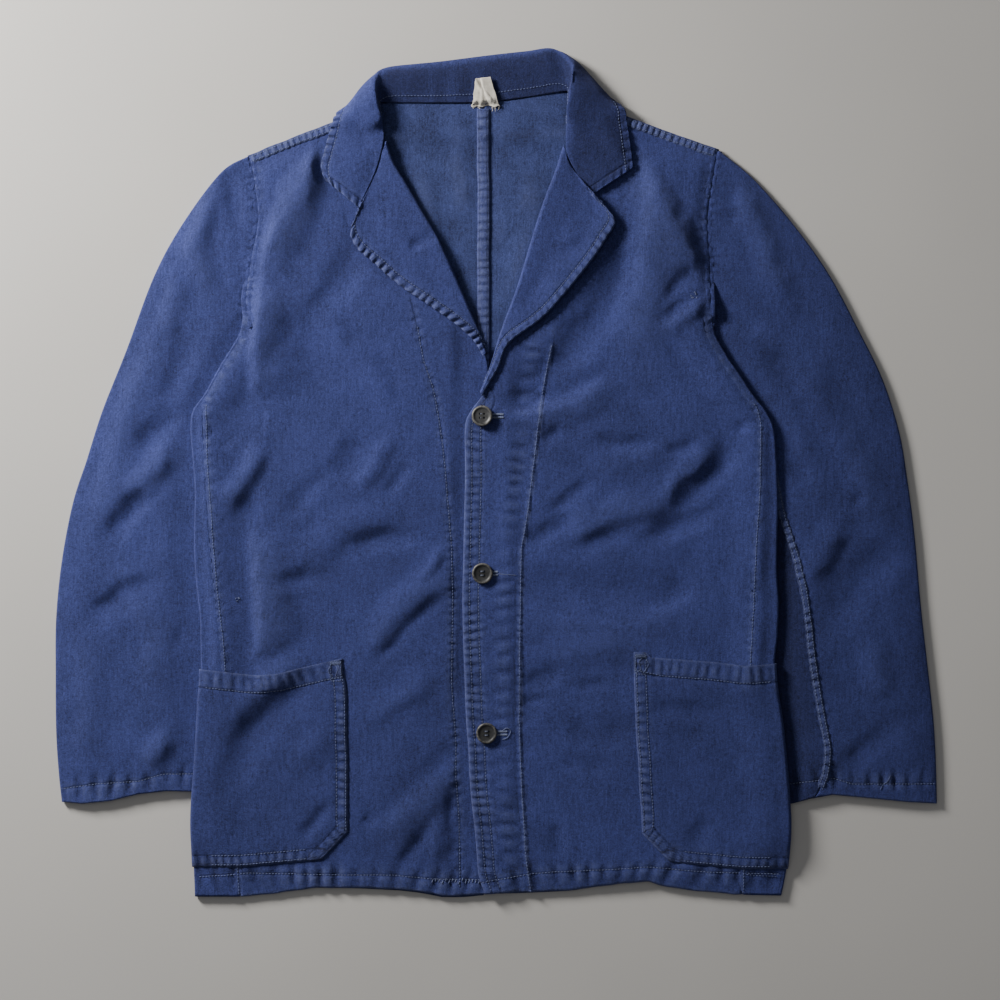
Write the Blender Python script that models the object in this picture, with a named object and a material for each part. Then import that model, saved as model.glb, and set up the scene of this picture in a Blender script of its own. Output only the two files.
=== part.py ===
"""Chore coat of washed cotton drill, laid flat on its back and buttoned.

The tables are in millimetres. x runs from the centre line towards the wearer's left,
y runs up from the hem, and z runs up from the floor. An empty shifts the whole coat,
so that the middle of its outline stands over the origin.
"""
import math
from collections import namedtuple

import bpy
from mathutils import Vector

MM = 0.001
CENTRE_X = 11.7
CENTRE_Y = 407.5

CLOTH = 1.2
DOUBLE_CLOTH = 2.0
COLLAR_CLOTH = 1.6
SEAM_GAP = 0.5
LAY_GAP = 0.8
FOLD_D = 4.2
SHOULDER_D = 3.3
TOP_OVER_UNDER = 2.0
SLEEVE_FOLD_D = 4.2
ROLL_D = 6.4

SIDE_LIFT = 5.1
SIDE_LIFT_FLAT = 15.0
SIDE_LIFT_END = 52.0
NECK_LIFT = 3.0
NECK_LIFT_MIDDLE = -4.0
NECK_LIFT_REACH = 134.0
NECK_LIFT_FADE = 41.0
SIDE_LIFT_START_Y = 18.0
SIDE_LIFT_FULL_Y = 62.0
SIDE_LIFT_FADE_Y = 566.0
SIDE_LIFT_TOP_Y = 602.0
NECK_LIFT_START_Y = 718.0
NECK_LIFT_FULL_Y = 736.0

CROWN = 1.3
SHOULDER_THIN = 22.0
CROWN_EDGE = 28.0
CROWN_SHOULDER = (6.0, 34.0)
CROWN_CENTRE = (24.0, 26.0)
CROWN_HEM = (12.0, 30.0)
COLLAR_FLAT_Y = (640.0, 60.0)
COLLAR_FLAT_X = (146.0, 24.0)
CLOSING_X = (20.0, 18.0)
CLOSING_Y = (530.0, 30.0)
ARC_STEPS = 4

POCKET_GAP = 0.3
POCKET_HEM_EXTRA = 0.5
BUTTON_D = 20.0
BUTTON_THICK = 3.2
BUTTON_RIM = 2.2
BUTTON_HOLE_D = 2.0
BUTTON_HOLE_OFF = 1.9
BUTTON_STEPS = 20
BUTTON_FOOT = 1.2
BUTTON_BEVEL = 1.0
BUTTON_RIM_FLAT = 0.9
BUTTON_DISH = 1.0
BUTTON_RESTS = 8
HOLE_STEPS = 8
BUTTONS = [(-1.9, 461.8), (-1.5, 310.7), (2.5, 157.4)]

TAPE_WIDTH = 11.5
TAPE_THICK = 1.0
TAPE_START = 25
TAPE_STEP = 48
TAPE_STEPS = 15
TAPE_END = 3.0
LABEL_THICK = 1.0
LABEL_SKEW = 2.0
LABEL_OUTLINE = [(-13.0, 12.0, 767.5, 7.6), (-12.5, 13.5, 775, 8.4), (-12.0, 14.0, 784, 8.9)]
LABEL_SHARES = (0, 0.33, 0.67, 1)

Row = namedtuple("Row", "side_y edge_x seam_x pocket_x front_x front_y")

# Wearer's right half, from the hem up: side fold, side seam on top, pocket line, front edge
RIGHT_ROWS = [
    Row(0, -278.0, -234, -130, 18, 2),
    Row(14, -278.5, -235, -130, 18, 21),
    Row(27, -279.0, -236, -130, 18, 41),
    Row(48, -279.5, -238, -130, 18, 64),
    Row(72, -280.2, -240, -130, 18, 90),
    Row(97, -279.2, -242, -130, 18, 116),
    Row(122, -277.2, -243, -130, 18, 141),
    Row(147, -275.6, -245, -131, 18, 166),
    Row(172, -274.3, -246, -131, 18, 191),
    Row(197, -273.0, -248, -132, 18, 217),
    Row(219, -271.6, -249, -135, 18, 240),
    Row(245, -271.9, -251, -135, 18, 262),
    Row(270, -272.6, -254, -136, 18, 285),
    Row(300, -276.0, -258, -137, 18, 310),
    Row(330, -278.0, -261, -138, 18, 337),
    Row(360, -277.8, -264, -139, 18, 365),
    Row(390, -277.4, -266, -139, 18, 392),
    Row(420, -279.4, -267, -140, 18, 420),
    Row(448, -281.6, -269, -138, 18, 450),
    Row(467, -279.4, -269, -136, 12, 477),
    Row(483, -268.0, -261, -133, 5, 500),
    Row(511, -252.5, -245, -128, 1, 521),
    Row(537, -236.5, -229, -124, -11, 548),
    Row(555, -230.5, -223, -122, -17, 562),
    Row(574, -228.5, -228.5, -125, -34, 600),
    Row(608, -224.6, -224.6, -132, -49, 634),
    Row(650, -217.0, -217, -145, -82, 683),
    Row(690, -220.8, -220.8, -160, -107, 727),
    Row(712, -225.6, -225.6, -170, -104, 757),
]
# Wearer's left half, which lies on top at the closing
LEFT_ROWS = [
    Row(1, 286.0, 248, 152, 1, 2),
    Row(13, 288.5, 249, 152, -5, 20),
    Row(25, 290.6, 250, 152, -7, 42),
    Row(46, 292.4, 250, 151.5, -9, 66),
    Row(70, 293.4, 251, 151, -12, 92),
    Row(95, 292.2, 251, 149, -14, 117),
    Row(120, 290.4, 252, 148, -15, 142),
    Row(145, 288.0, 253, 146, -17, 167),
    Row(170, 285.4, 254, 145, -18, 192),
    Row(197, 281.4, 255, 144, -19, 220),
    Row(225, 279.2, 255.5, 143.5, -20, 248),
    Row(250, 281.6, 257, 143, -20.5, 268),
    Row(281, 282.9, 258, 143, -20.7, 294),
    Row(310, 281.2, 259, 143, -20, 318),
    Row(340, 281.4, 261, 143, -19.5, 345),
    Row(375, 282.2, 263.5, 143, -18.7, 378),
    Row(400, 281.6, 265, 143, -18.2, 401),
    Row(420, 280.8, 266, 142, -18.2, 424),
    Row(450, 278.1, 268, 140, -18.2, 452),
    Row(469, 268.8, 261, 137, -13, 466),
    Row(480, 259.4, 252, 133, 1.5, 487),
    Row(515, 236.0, 229, 126, 15, 526),
    Row(539, 222.0, 215, 122, 26, 556),
    Row(556, 219.6, 212, 122, 35, 583),
    Row(574, 217.9, 217.9, 124, 46, 611),
    Row(608, 217.0, 217, 130, 60, 656),
    Row(652, 215.0, 215, 140, 77, 689),
    Row(695, 220.8, 220.8, 155, 90, 722),
    Row(718, 224.6, 224.6, 165, 86, 768),
]
UNDERARM_ROW = 23
POCKET_BOTTOM_ROW = 2
POCKET_TOP_ROW = 10
POCKET_CELLS = 7
FRONT_CELLS = 9

SHOULDER = {
    -1: [(-225.6, 712.3), (-186, 728.5), (-138, 746), (-101, 759)],
    1: [(83, 771), (131.5, 750.5), (169, 737.5), (224.6, 718)],
}
BACK_NECK = {-1: (-101, 761.8, 762.0), 1: (83, 772.4, 762.0)}
BELOW_NECK = 24.0
FLOOR_SPREAD = (0.0, 0.27, 0.52, 0.77)
NECK_COLUMN = 2
NECK_ROWS = 3
SHOULDER_MID = 133.0
NEAR_EDGE = (50, 30, 13)
SHOULDER_PULL = (1.0, 0.45, 0.1)

# How far the hem rises above its straight line, from the wearer's right side to the left
HEM = [(-279, 0), (-236, 0), (-209, 2), (-182, 5.5), (-163, 8), (-120, 7.5), (-81, 5.5), (-60, 3),
       (-40, -1), (-20, -1), (0, 1), (38, 2), (81, 4), (108, 8), (126, 10.5), (144, 12), (158, 13.5),
       (170, 9), (204, 4), (230, 2), (258, 0.5), (290, 0)]
HEM_REACH = 60.0

Fold = namedtuple("Fold", "x0 y0 x1 y1 height reach")

FRONT_FOLDS = [
    Fold(-163, 700, -209, 610, 3.6, 17),
    Fold(-141, 690, -176, 600, -1.2, 17),
    Fold(-122, 622, -164, 558, -1.2, 16),
    Fold(-214, 570, -212, 478, 2.8, 16),
    Fold(-190, 570, -188, 482, -1.2, 18),
    Fold(-214, 428, -240, 376, 2.2, 15),
    Fold(-213, 352, -213, 236, 3.4, 16),
    Fold(-188, 350, -190, 268, -1.3, 16),
    Fold(-114, 240, -50, 296, 4.2, 15),
    Fold(-104, 222, -50, 276, -1.3, 13),
    Fold(-93, 57, -45, 105, 4.2, 15),
    Fold(-70, 118, -45, 138, -1.2, 13),
    Fold(-152, 210, -222, 158, -1.3, 17),
    Fold(-222, 158, -256, 100, -1.3, 17),
    Fold(158, 692, 205, 608, 3.6, 17),
    Fold(153, 660, 152, 520, 2.6, 20),
    Fold(60, 481, 114, 503, -1.2, 15),
    Fold(70, 458, 130, 466, 1.8, 16),
    Fold(232, 428, 182, 368, -1.3, 15),
    Fold(222, 452, 168, 396, 2.0, 15),
    Fold(219, 370, 158, 344, -1.3, 14),
    Fold(172, 377, 86, 343, 2.8, 15),
    Fold(137, 346, 88, 322, -1.2, 13),
    Fold(50, 300, 175, 293, -1.3, 18),
    Fold(78, 156, 142, 156, -1.1, 16),
]
SLEEVE_FOLDS = [
    Fold(-266, 690, -274, 618, 2.2, 15),
    Fold(-294, 596, -303, 538, 2.2, 15),
    Fold(-300, 462, -330, 432, -2.4, 16),
    Fold(-306, 424, -348, 382, 2.6, 16),
    Fold(-326, 388, -360, 348, -2.0, 14),
    Fold(-316, 303, -372, 268, -2.2, 16),
    Fold(-306, 160, -328, 124, 2.0, 15),
    Fold(262, 640, 300, 560, 2.4, 16),
    Fold(262, 545, 300, 520, -2.0, 16),
    Fold(341, 356, 312, 303, 2.4, 16),
    Fold(400, 340, 330, 262, -2.6, 18),
    Fold(390, 162, 348, 124, -2.0, 15),
]

Station = namedtuple("Station", "outer_x outer_y inner_x inner_y seam")

# Sleeves from the armhole to the cuff: the outer fold, the hidden inner fold,
# and how far across the top the back seam lies
RIGHT_SLEEVE = [
    Station(-227, 711.5, -222, 547, 0.96),
    Station(-253, 696, -229, 531, 0.96),
    Station(-289, 648, -242, 505, 0.96),
    Station(-317, 597, -257, 478, 0.96),
    Station(-344, 525, -267, 445, 0.96),
    Station(-367, 467, -269, 410, 0.96),
    Station(-382, 420, -268, 375, 0.96),
    Station(-395.5, 378, -267, 335, 0.96),
    Station(-406, 323, -265, 292, 0.96),
    Station(-411.5, 268, -262, 250, 0.96),
    Station(-412, 213, -262, 205, 0.96),
    Station(-411.5, 159, -265, 158, 0.96),
    Station(-409, 119, -267, 122, 0.96),
    Station(-406, 91, -268, 100, 0.96),
]
LEFT_SLEEVE = [
    Station(226, 717, 212, 530, 0.95),
    Station(260, 689, 218, 516, 0.95),
    Station(300, 643, 230, 496, 0.95),
    Station(333, 596, 246, 476, 0.95),
    Station(360, 545, 262, 448, 0.95),
    Station(383, 498, 269, 420, 0.95),
    Station(399, 448, 270, 394, 0.92),
    Station(407, 402, 271, 365, 0.89),
    Station(414, 348, 270, 325, 0.80),
    Station(420, 281, 271, 277, 0.74),
    Station(426, 227, 269, 229, 0.705),
    Station(432, 173, 274, 177, 0.684),
    Station(434.5, 132, 279, 133, 0.655),
    Station(435.6, 89.3, 283, 88, 0.646),
]
RIGHT_ARMHOLE = [(-227, 711.5), (-222, 690), (-218.2, 650), (-225.8, 608), (-229.8, 574),
                 (-228.5, 560), (-222, 547)]
LEFT_ARMHOLE = [(226, 717), (222, 695), (216.2, 652), (218.2, 608), (219.2, 574),
                (219.6, 550), (212, 530)]
RIGHT_CUFF = [(-406, 91), (-386, 89.3), (-359, 92), (-332, 98.5), (-305, 101.5), (-281, 100.8),
              (-268, 100)]
LEFT_CUFF = [(435.6, 89.3), (407, 91), (367, 95), (335, 98), (313, 94), (297, 89.5), (283, 88)]
SLEEVE_STEPS = 18
SLEEVE_CELLS = 9
SLEEVE_CROWN = 2.1
SLEEVE_SIDE = 14.0
SLEEVE_RISE = 36.0
SLEEVE_UNDER_SEAM = 12.0
SLEEVE_OUTER_START = 2.0
ARMHOLE_REACH = 0.22
CUFF_REACH = 0.12
CROWN_START = 0.12
CROWN_RATE = 4
CUFF_FLAT = 0.35
CUFF_FLAT_START = 0.9
FOLD_FADE_ARMHOLE = 12
FOLD_FADE_CUFF = 14
STRIP_STEPS = 2
UNDER_STEPS = 4

Turn = namedtuple("Turn", "roll_x roll_y edge_x edge_y")

RIGHT_LAPEL = [
    Turn(-86, 705, -128, 638),
    Turn(-73, 683, -121, 622),
    Turn(-58, 657, -105, 608),
    Turn(-44, 633, -85, 590),
    Turn(-28, 598, -53, 568),
    Turn(-12.5, 562, -26, 549),
    Turn(-3, 540, -10, 534),
]
LEFT_LAPEL = [
    Turn(68, 696, 125.5, 650),
    Turn(59, 673, 117, 631),
    Turn(49, 643, 100, 606),
    Turn(39.4, 611, 71, 571),
    Turn(30.7, 583, 53, 553),
    Turn(16, 543, 24, 531),
    Turn(7.5, 515, 14, 508),
]
RIGHT_GORGE = [(-96, 727), (-99.5, 712), (-104, 697), (-111, 681), (-120.5, 661)]
LEFT_GORGE = [(78.7, 722), (80.5, 711), (85.5, 700), (94, 687), (105.6, 674)]
LAPEL_CELLS = 5
LAPEL_PUFF_REACH = 28.0
GORGE_GAP = 1.0
GORGE_ROLL_GAP = 2.8
GORGE_GAP_REACH = 15.0
LAPEL_FULL_WIDTH = 30.0
LAPEL_TIP_TALL = 0.7
LAPEL_TIP_RISE = 0.2
LAPEL_ROLL_SHARE = 0.4
LAPEL_BASE_STEP = 4.0

Across = namedtuple("Across", "neck stand roll belly edge")

# Collar sections from the wearer's right front tip round the back to the left front tip,
# each from the neck seam over the roll to the free edge
RIGHT_FRONT_COLLAR = [
    ((-120.5, 662, 7.2), (-153, 689, 7.2)),
    ((-110.5, 682, 7.6), (-156.5, 702, 7.4)),
    ((-103.5, 698, 8.3), (-154, 713, 7.6)),
    ((-99, 713, 9.2), (-151, 724, 7.9)),
    ((-96, 728.2, 9.8), (-148, 735, 8.7)),
]
BACK_COLLAR = [
    Across((-97, 741, 8.4), (-98, 742, 12), (-102, 745, 15.4), (-122, 748, 13.5), (-145, 745, 9.8)),
    Across((-98.5, 753, 8.4), (-99.5, 755, 13), (-104, 760, 17.5), (-124, 761, 12), (-139.5, 756, 2)),
    Across((-99, 759, 7.8), (-101, 764, 13), (-105.5, 775, 16.5), (-119, 776, 7), (-127, 758, 0.4)),
    Across((-98, 762.6, 7), (-100, 773, 11), (-103, 787, 12), (-108, 785, 3), (-111, 749, 0)),
    Across((-86, 762.6, 6), (-89, 787, 8.6), (-93, 797, 4.6), (-94, 787, 0.3), (-92, 744, 0)),
    Across((-45, 762.6, 5.8), (-46, 789, 7.6), (-47, 802, 3.8), (-46, 789, 0), (-45, 742, 0)),
    Across((0, 763.2, 5.8), (0, 795, 7.6), (0, 808, 3.8), (0, 795, 0), (0, 743, 0)),
    Across((40, 767.6, 5.8), (40, 800, 7.6), (40, 812.5, 3.8), (40, 799, 0), (40, 745, 0)),
    Across((69, 772.2, 6), (68, 805, 8.6), (67, 815, 4.6), (70, 803, 0.3), (72, 749, 0)),
    Across((80, 773.4, 7), (82, 788, 11), (84, 802, 12), (90, 799, 3), (96, 758, 0)),
    Across((80, 768, 7.8), (82, 775, 13), (85, 790, 16.5), (101, 790, 7), (113, 766, 0.4)),
    Across((80, 757, 8.4), (81.5, 762, 13), (84, 770, 17.5), (109, 774, 12), (127.5, 764, 2)),
    Across((79, 742, 8.4), (80, 745, 12), (83.5, 751, 15.4), (108, 758, 13.5), (135.5, 755, 9.8)),
]
LEFT_FRONT_COLLAR = [
    ((78.5, 723.2, 9.8), (137, 745, 8.7)),
    ((80.2, 712, 9.2), (139, 733, 7.9)),
    ((85.2, 701, 8.3), (140.5, 722, 7.6)),
    ((93.8, 688, 7.6), (142, 711, 7.4)),
    ((105.6, 675, 7.2), (143, 700, 7.2)),
]
COLLAR_PUFF = 1.4
FRONT_COLLAR_SHARES = (0.0, 0.25, 0.5, 0.75, 1.0)
COLLAR_STEPS = 2
SECTION_STEPS = 3

MATERIALS = {
    "drill": ((0.045, 0.075, 0.185, 1), 0.92),
    "drill_dark": ((0.022, 0.036, 0.088, 1), 0.92),
    "lining_side": ((0.035, 0.052, 0.125, 1), 0.94),
    "cotton_tape": ((0.60, 0.56, 0.49, 1), 0.9),
    "button": ((0.030, 0.031, 0.032, 1), 0.45),
}


def mix(a, b, t):
    """Value part of the way from a to b."""
    return a + (b - a) * t


def ease(t):
    """Smooth step from 0 to 1."""
    t = min(max(t, 0.0), 1.0)
    return t * t * (3 - 2 * t)


def table_value(pairs, x):
    """Value of a table of (place, value) pairs, in rising order, at the place x."""
    if x <= pairs[0][0]:
        return pairs[0][1]
    for (x0, v0), (x1, v1) in zip(pairs, pairs[1:]):
        if x <= x1:
            return mix(v0, v1, (x - x0) / (x1 - x0))
    return pairs[-1][1]


def along(points, t):
    """Point a fraction t along a list of points, each stretch counting alike."""
    place = min(max(t, 0.0), 1.0) * (len(points) - 1)
    index = min(int(place), len(points) - 2)
    return [mix(a, b, place - index) for a, b in zip(points[index], points[index + 1])]


def curve_value(values, t):
    """Smooth curve through evenly counted values, each a tuple, at the fraction t."""
    place = min(max(t, 0.0), 1.0) * (len(values) - 1)
    i = min(int(place), len(values) - 2)
    f = place - i
    before = values[max(i - 1, 0)]
    after = values[min(i + 2, len(values) - 1)]
    out = []
    for p0, p1, p2, p3 in zip(before, values[i], values[i + 1], after):
        a = 2 * p1
        b = p2 - p0
        c = 2 * p0 - 5 * p1 + 4 * p2 - p3
        d = 3 * p1 - p0 - 3 * p2 + p3
        out.append(0.5 * (a + b * f + c * f * f + d * f ** 3))
    return out


def fold_sum(folds, x, y):
    """Height of the listed folds at a place: each a ridge or a trough that fades out."""
    total = 0.0
    for fold in folds:
        dx = fold.x1 - fold.x0
        dy = fold.y1 - fold.y0
        t = ((x - fold.x0) * dx + (y - fold.y0) * dy) / (dx * dx + dy * dy)
        t = min(max(t, 0.0), 1.0)
        away = math.hypot(x - fold.x0 - t * dx, y - fold.y0 - t * dy)
        total += fold.height * (1 - ease(away / fold.reach))
    return total


def hem_rise(x, y):
    """How far a place near the hem is drawn up."""
    return table_value(HEM, x) * (1 - ease(y / HEM_REACH))


def rise_from(start, reach, value):
    """0 up to a start, then smoothly up to 1 over a reach."""
    return ease((value - start) / reach)


def half_rows(side):
    """Body rows of one half, side -1 for the wearer's right and 1 for the left."""
    return RIGHT_ROWS if side < 0 else LEFT_ROWS


def edge_distance(side, x, y):
    """Distance of a place inward from the side fold or the armhole."""
    rows = half_rows(side)
    edge = table_value([(row.side_y, abs(row.edge_x)) for row in rows], y)
    return edge - abs(x)


def shoulder_distance(side, x, y):
    """Distance of a place below the shoulder seam."""
    return table_value(SHOULDER[side], x) - y


def floor_lift(side, x, y):
    """Height of the back's underside: it lies over the sleeve's fold and the collar's fall."""
    up = rise_from(SIDE_LIFT_START_Y, SIDE_LIFT_FULL_Y - SIDE_LIFT_START_Y, y)
    up *= 1 - rise_from(SIDE_LIFT_FADE_Y, SIDE_LIFT_TOP_Y - SIDE_LIFT_FADE_Y, y)
    inward = edge_distance(side, x, y)
    side_lift = SIDE_LIFT * up
    side_lift *= 1 - rise_from(SIDE_LIFT_FLAT, SIDE_LIFT_END - SIDE_LIFT_FLAT, inward)
    out = abs(x - NECK_LIFT_MIDDLE) - NECK_LIFT_REACH
    neck_lift = NECK_LIFT * rise_from(NECK_LIFT_START_Y, NECK_LIFT_FULL_Y - NECK_LIFT_START_Y, y)
    neck_lift *= 1 - min(max(out / NECK_LIFT_FADE, 0.0), 1.0)
    return max(side_lift, neck_lift)


def front_height(side, x, y):
    """Height of a front's outer face."""
    below = shoulder_distance(side, x, y)
    inward = edge_distance(side, x, y)
    rest = mix(SHOULDER_D, FOLD_D, ease(below / SHOULDER_THIN))
    free = ease(inward / CROWN_EDGE) * rise_from(*CROWN_SHOULDER, below)
    free *= rise_from(*CROWN_CENTRE, abs(x))
    under_collar = rise_from(*COLLAR_FLAT_Y, y) * (1 - rise_from(*COLLAR_FLAT_X, abs(x)))
    loose = rise_from(*CROWN_HEM, y) * (1 - under_collar)
    relief = (CROWN + fold_sum(FRONT_FOLDS, x, y)) * free * loose
    over = 0.0
    if side > 0:
        over = TOP_OVER_UNDER * (1 - rise_from(*CLOSING_X, x)) * (1 - rise_from(*CLOSING_Y, y))
    return floor_lift(side, x, y) + rest + relief + over


def half_circle(radius):
    """Steps round a fold from below to above: (distance in from the fold, height)."""
    steps = []
    for k in range(ARC_STEPS + 1):
        angle = math.pi * (k / ARC_STEPS - 0.5)
        steps.append((radius - radius * math.cos(angle), radius + radius * math.sin(angle)))
    return steps


def material(name):
    """Principled material of the named kind."""
    made = bpy.data.materials.get(name)
    if made:
        return made
    colour, roughness = MATERIALS[name]
    made = bpy.data.materials.new(name)
    made.use_nodes = True
    shader = made.node_tree.nodes["Principled BSDF"]
    shader.inputs["Base Color"].default_value = colour
    shader.inputs["Roughness"].default_value = roughness
    shader.inputs["Metallic"].default_value = 0.0
    return made


def place(obj, kind):
    """Put an object on the coat, with its material and smooth shading."""
    obj.data.materials.append(material(kind))
    bpy.context.scene.collection.objects.link(obj)
    obj.parent = COAT
    obj.data.shade_smooth()
    obj.data.set_sharp_from_angle(angle=math.radians(50))


def cloth(name, points, faces, kind, thickness=CLOTH, up=True):
    """One sewn piece: a face of quads, thickened inward by a Solidify modifier."""
    mesh = bpy.data.meshes.new(name)
    mesh.from_pydata([Vector(p) * MM for p in points], [], faces)
    mesh.validate()
    if not up:
        mesh.flip_normals()
    obj = bpy.data.objects.new(name, mesh)
    place(obj, kind)
    wall = obj.modifiers.new("wall", "SOLIDIFY")
    wall.thickness = thickness * MM
    wall.offset = -1.0
    return obj


def grid_faces(rows, columns, start=0, skip=()):
    """Quads of a grid whose points are listed row by row."""
    faces = []
    for j in range(rows - 1):
        for i in range(columns - 1):
            if (j, i) in skip:
                continue
            a = start + j * columns + i
            faces.append((a, a + 1, a + 1 + columns, a + columns))
    return faces


def sheet(name, grid, kind, thickness=CLOTH, up=True):
    """One sewn piece from rows of points."""
    points = [p for row in grid for p in row]
    return cloth(name, points, grid_faces(len(grid), len(grid[0])), kind, thickness, up)


def front_row(side, row, armhole):
    """Points of one row across a front, from the side seam to the front edge."""
    gap = 0.0 if armhole else SEAM_GAP
    seam_x = row.seam_x - side * gap
    places = [mix(seam_x, row.pocket_x, i / POCKET_CELLS) for i in range(POCKET_CELLS)]
    places += [mix(row.pocket_x, row.front_x, i / FRONT_CELLS) for i in range(FRONT_CELLS + 1)]
    points = []
    for x in places:
        t = (x - row.seam_x) / (row.front_x - row.seam_x)
        y = mix(row.side_y, row.front_y, t)
        y += hem_rise(x, y)
        points.append((x, y, front_height(side, x, y)))
    return points


def make_front(name, side, kind):
    """A front panel from the side seam and armhole to the front edge and roll line."""
    grid = []
    for index, row in enumerate(half_rows(side)):
        grid.append(front_row(side, row, index > UNDERARM_ROW))
    sheet(name, grid, kind, up=side < 0)
    return grid


def turn_of_side(side, row):
    """The back's wrap at one row: round the side fold and along the top to the side seam."""
    lift = floor_lift(side, row.edge_x, row.side_y)
    points = []
    for inward, height in half_circle(FOLD_D / 2):
        points.append((row.edge_x - side * inward, row.side_y, lift + height))
    first = points[-1][0]
    for t in (0.5, 1.0):
        x = mix(first, row.seam_x + side * SEAM_GAP / 2, t)
        points.append((x, row.side_y, front_height(side, x, row.side_y)))
    return points


def back_row(side, row, index, count):
    """Floor layer of the back at one row, from the centre seam to the side fold or armhole."""
    neck_x, neck_y, centre_y = BACK_NECK[side]
    turned = index <= UNDERARM_ROW
    end_x = row.edge_x - side * (FOLD_D / 2 if turned else 0.0)
    near = [abs(end_x) - distance for distance in NEAR_EDGE]
    centre_x = side * SEAM_GAP / 2
    from_top = count - 1 - index
    points = []
    for column, spread in enumerate(FLOOR_SPREAD):
        x = mix(centre_x, side * near[0], spread)
        y = row.side_y
        if from_top < NECK_ROWS:
            x = side * SHOULDER_MID
            y = table_value(SHOULDER[side], x)
            if column <= NECK_COLUMN:
                x = mix(centre_x, neck_x, column / NECK_COLUMN)
                y = mix(centre_y, neck_y, column / NECK_COLUMN)
            y -= BELOW_NECK * from_top
        points.append((x, y))
    for distance in near:
        x = side * distance
        y = row.side_y
        if from_top < NECK_ROWS:
            y = mix(y, table_value(SHOULDER[side], x), SHOULDER_PULL[from_top])
        points.append((x, y))
    points = [(x, y + hem_rise(x, y)) for x, y in points]
    lifted = [(x, y, floor_lift(side, x, y)) for x, y in points]
    if turned:
        return lifted + turn_of_side(side, row)
    end = (end_x, row.side_y, floor_lift(side, end_x, row.side_y))
    return lifted + [end]


def make_back(name, side):
    """One half of the back: the floor layer, the side fold and the strip on top of it."""
    rows = half_rows(side)
    grid = [back_row(side, row, index, len(rows)) for index, row in enumerate(rows)]
    lower = grid[:UNDERARM_ROW + 1]
    floor_columns = len(grid[-1])
    wide = len(lower[0])
    points = [p for row in lower for p in row]
    faces = grid_faces(len(lower), wide)
    base = UNDERARM_ROW * wide
    for row in grid[UNDERARM_ROW + 1:]:
        start = len(points)
        points += row
        for i in range(floor_columns - 1):
            faces.append((base + i, base + i + 1, start + i + 1, start + i))
        base = start
    cloth(name, points, faces, "lining_side", up=side < 0)
    return lower


def make_pocket(name, side, front, back):
    """A patch pocket on the front's own points, carried round the side fold."""
    rows = []
    for j in range(POCKET_BOTTOM_ROW, POCKET_TOP_ROW + 1):
        wrap = back[j][-ARC_STEPS - 2:-1]
        rows.append([Vector(p) for p in wrap + front[j][:POCKET_CELLS + 1]])
    outer = []
    last = len(rows) - 1
    for j, row in enumerate(rows):
        up_row = rows[min(j + 1, last)]
        down_row = rows[max(j - 1, 0)]
        moved = []
        for i, point in enumerate(row):
            inward = row[min(i + 1, len(row) - 1)] - row[max(i - 1, 0)]
            upward = up_row[i] - down_row[i]
            normal = upward.cross(inward).normalized() * side
            extra = POCKET_HEM_EXTRA if j == last else 0.0
            moved.append(point + normal * (POCKET_GAP + CLOTH + extra))
        outer.append(moved)
    columns = len(outer[0])
    points = [p for row in outer for p in row]
    end = columns - 1
    faces = grid_faces(len(outer), columns, skip=((0, end - 1), (0, end - 2)))
    faces.append((end - 2, end - 1 + columns, end - 2 + columns))
    faces.append((end - 2, end + columns, end - 1 + columns))
    cloth(name, points, faces, "drill_dark", up=side < 0)


def sleeve_place(stations, armhole, cuff, s, t):
    """Place in plan: s from the armhole to the cuff, t from the outer fold to the inner."""
    outer_x, outer_y, inner_x, inner_y, _ = curve_value(stations, s)
    x = mix(outer_x, inner_x, t)
    y = mix(outer_y, inner_y, t)
    for end, curve, weight in ((stations[0], armhole, 1 - s / ARMHOLE_REACH),
                               (stations[-1], cuff, 1 - (1 - s) / CUFF_REACH)):
        pull = max(weight, 0.0) ** 2
        line_x, line_y = along(curve, t)
        x += pull * (line_x - mix(end.outer_x, end.inner_x, t))
        y += pull * (line_y - mix(end.outer_y, end.inner_y, t))
    return x, y


def sleeve_height(s, width, t, x, y):
    """Height of a sleeve's top layer."""
    outer_rise = rise_from(SLEEVE_OUTER_START, SLEEVE_RISE, t * width)
    inner_rise = rise_from(SLEEVE_SIDE, SLEEVE_RISE, (1 - t) * width)
    crown = SLEEVE_CROWN * ease(CROWN_START + s * CROWN_RATE)
    crown *= 1 - CUFF_FLAT * rise_from(CUFF_FLAT_START, 1 - CUFF_FLAT_START, s)
    relief = fold_sum(SLEEVE_FOLDS, x, y) * ease(s * FOLD_FADE_ARMHOLE)
    relief *= ease((1 - s) * FOLD_FADE_CUFF)
    return SLEEVE_FOLD_D + (crown + relief) * outer_rise * inner_rise


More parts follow.
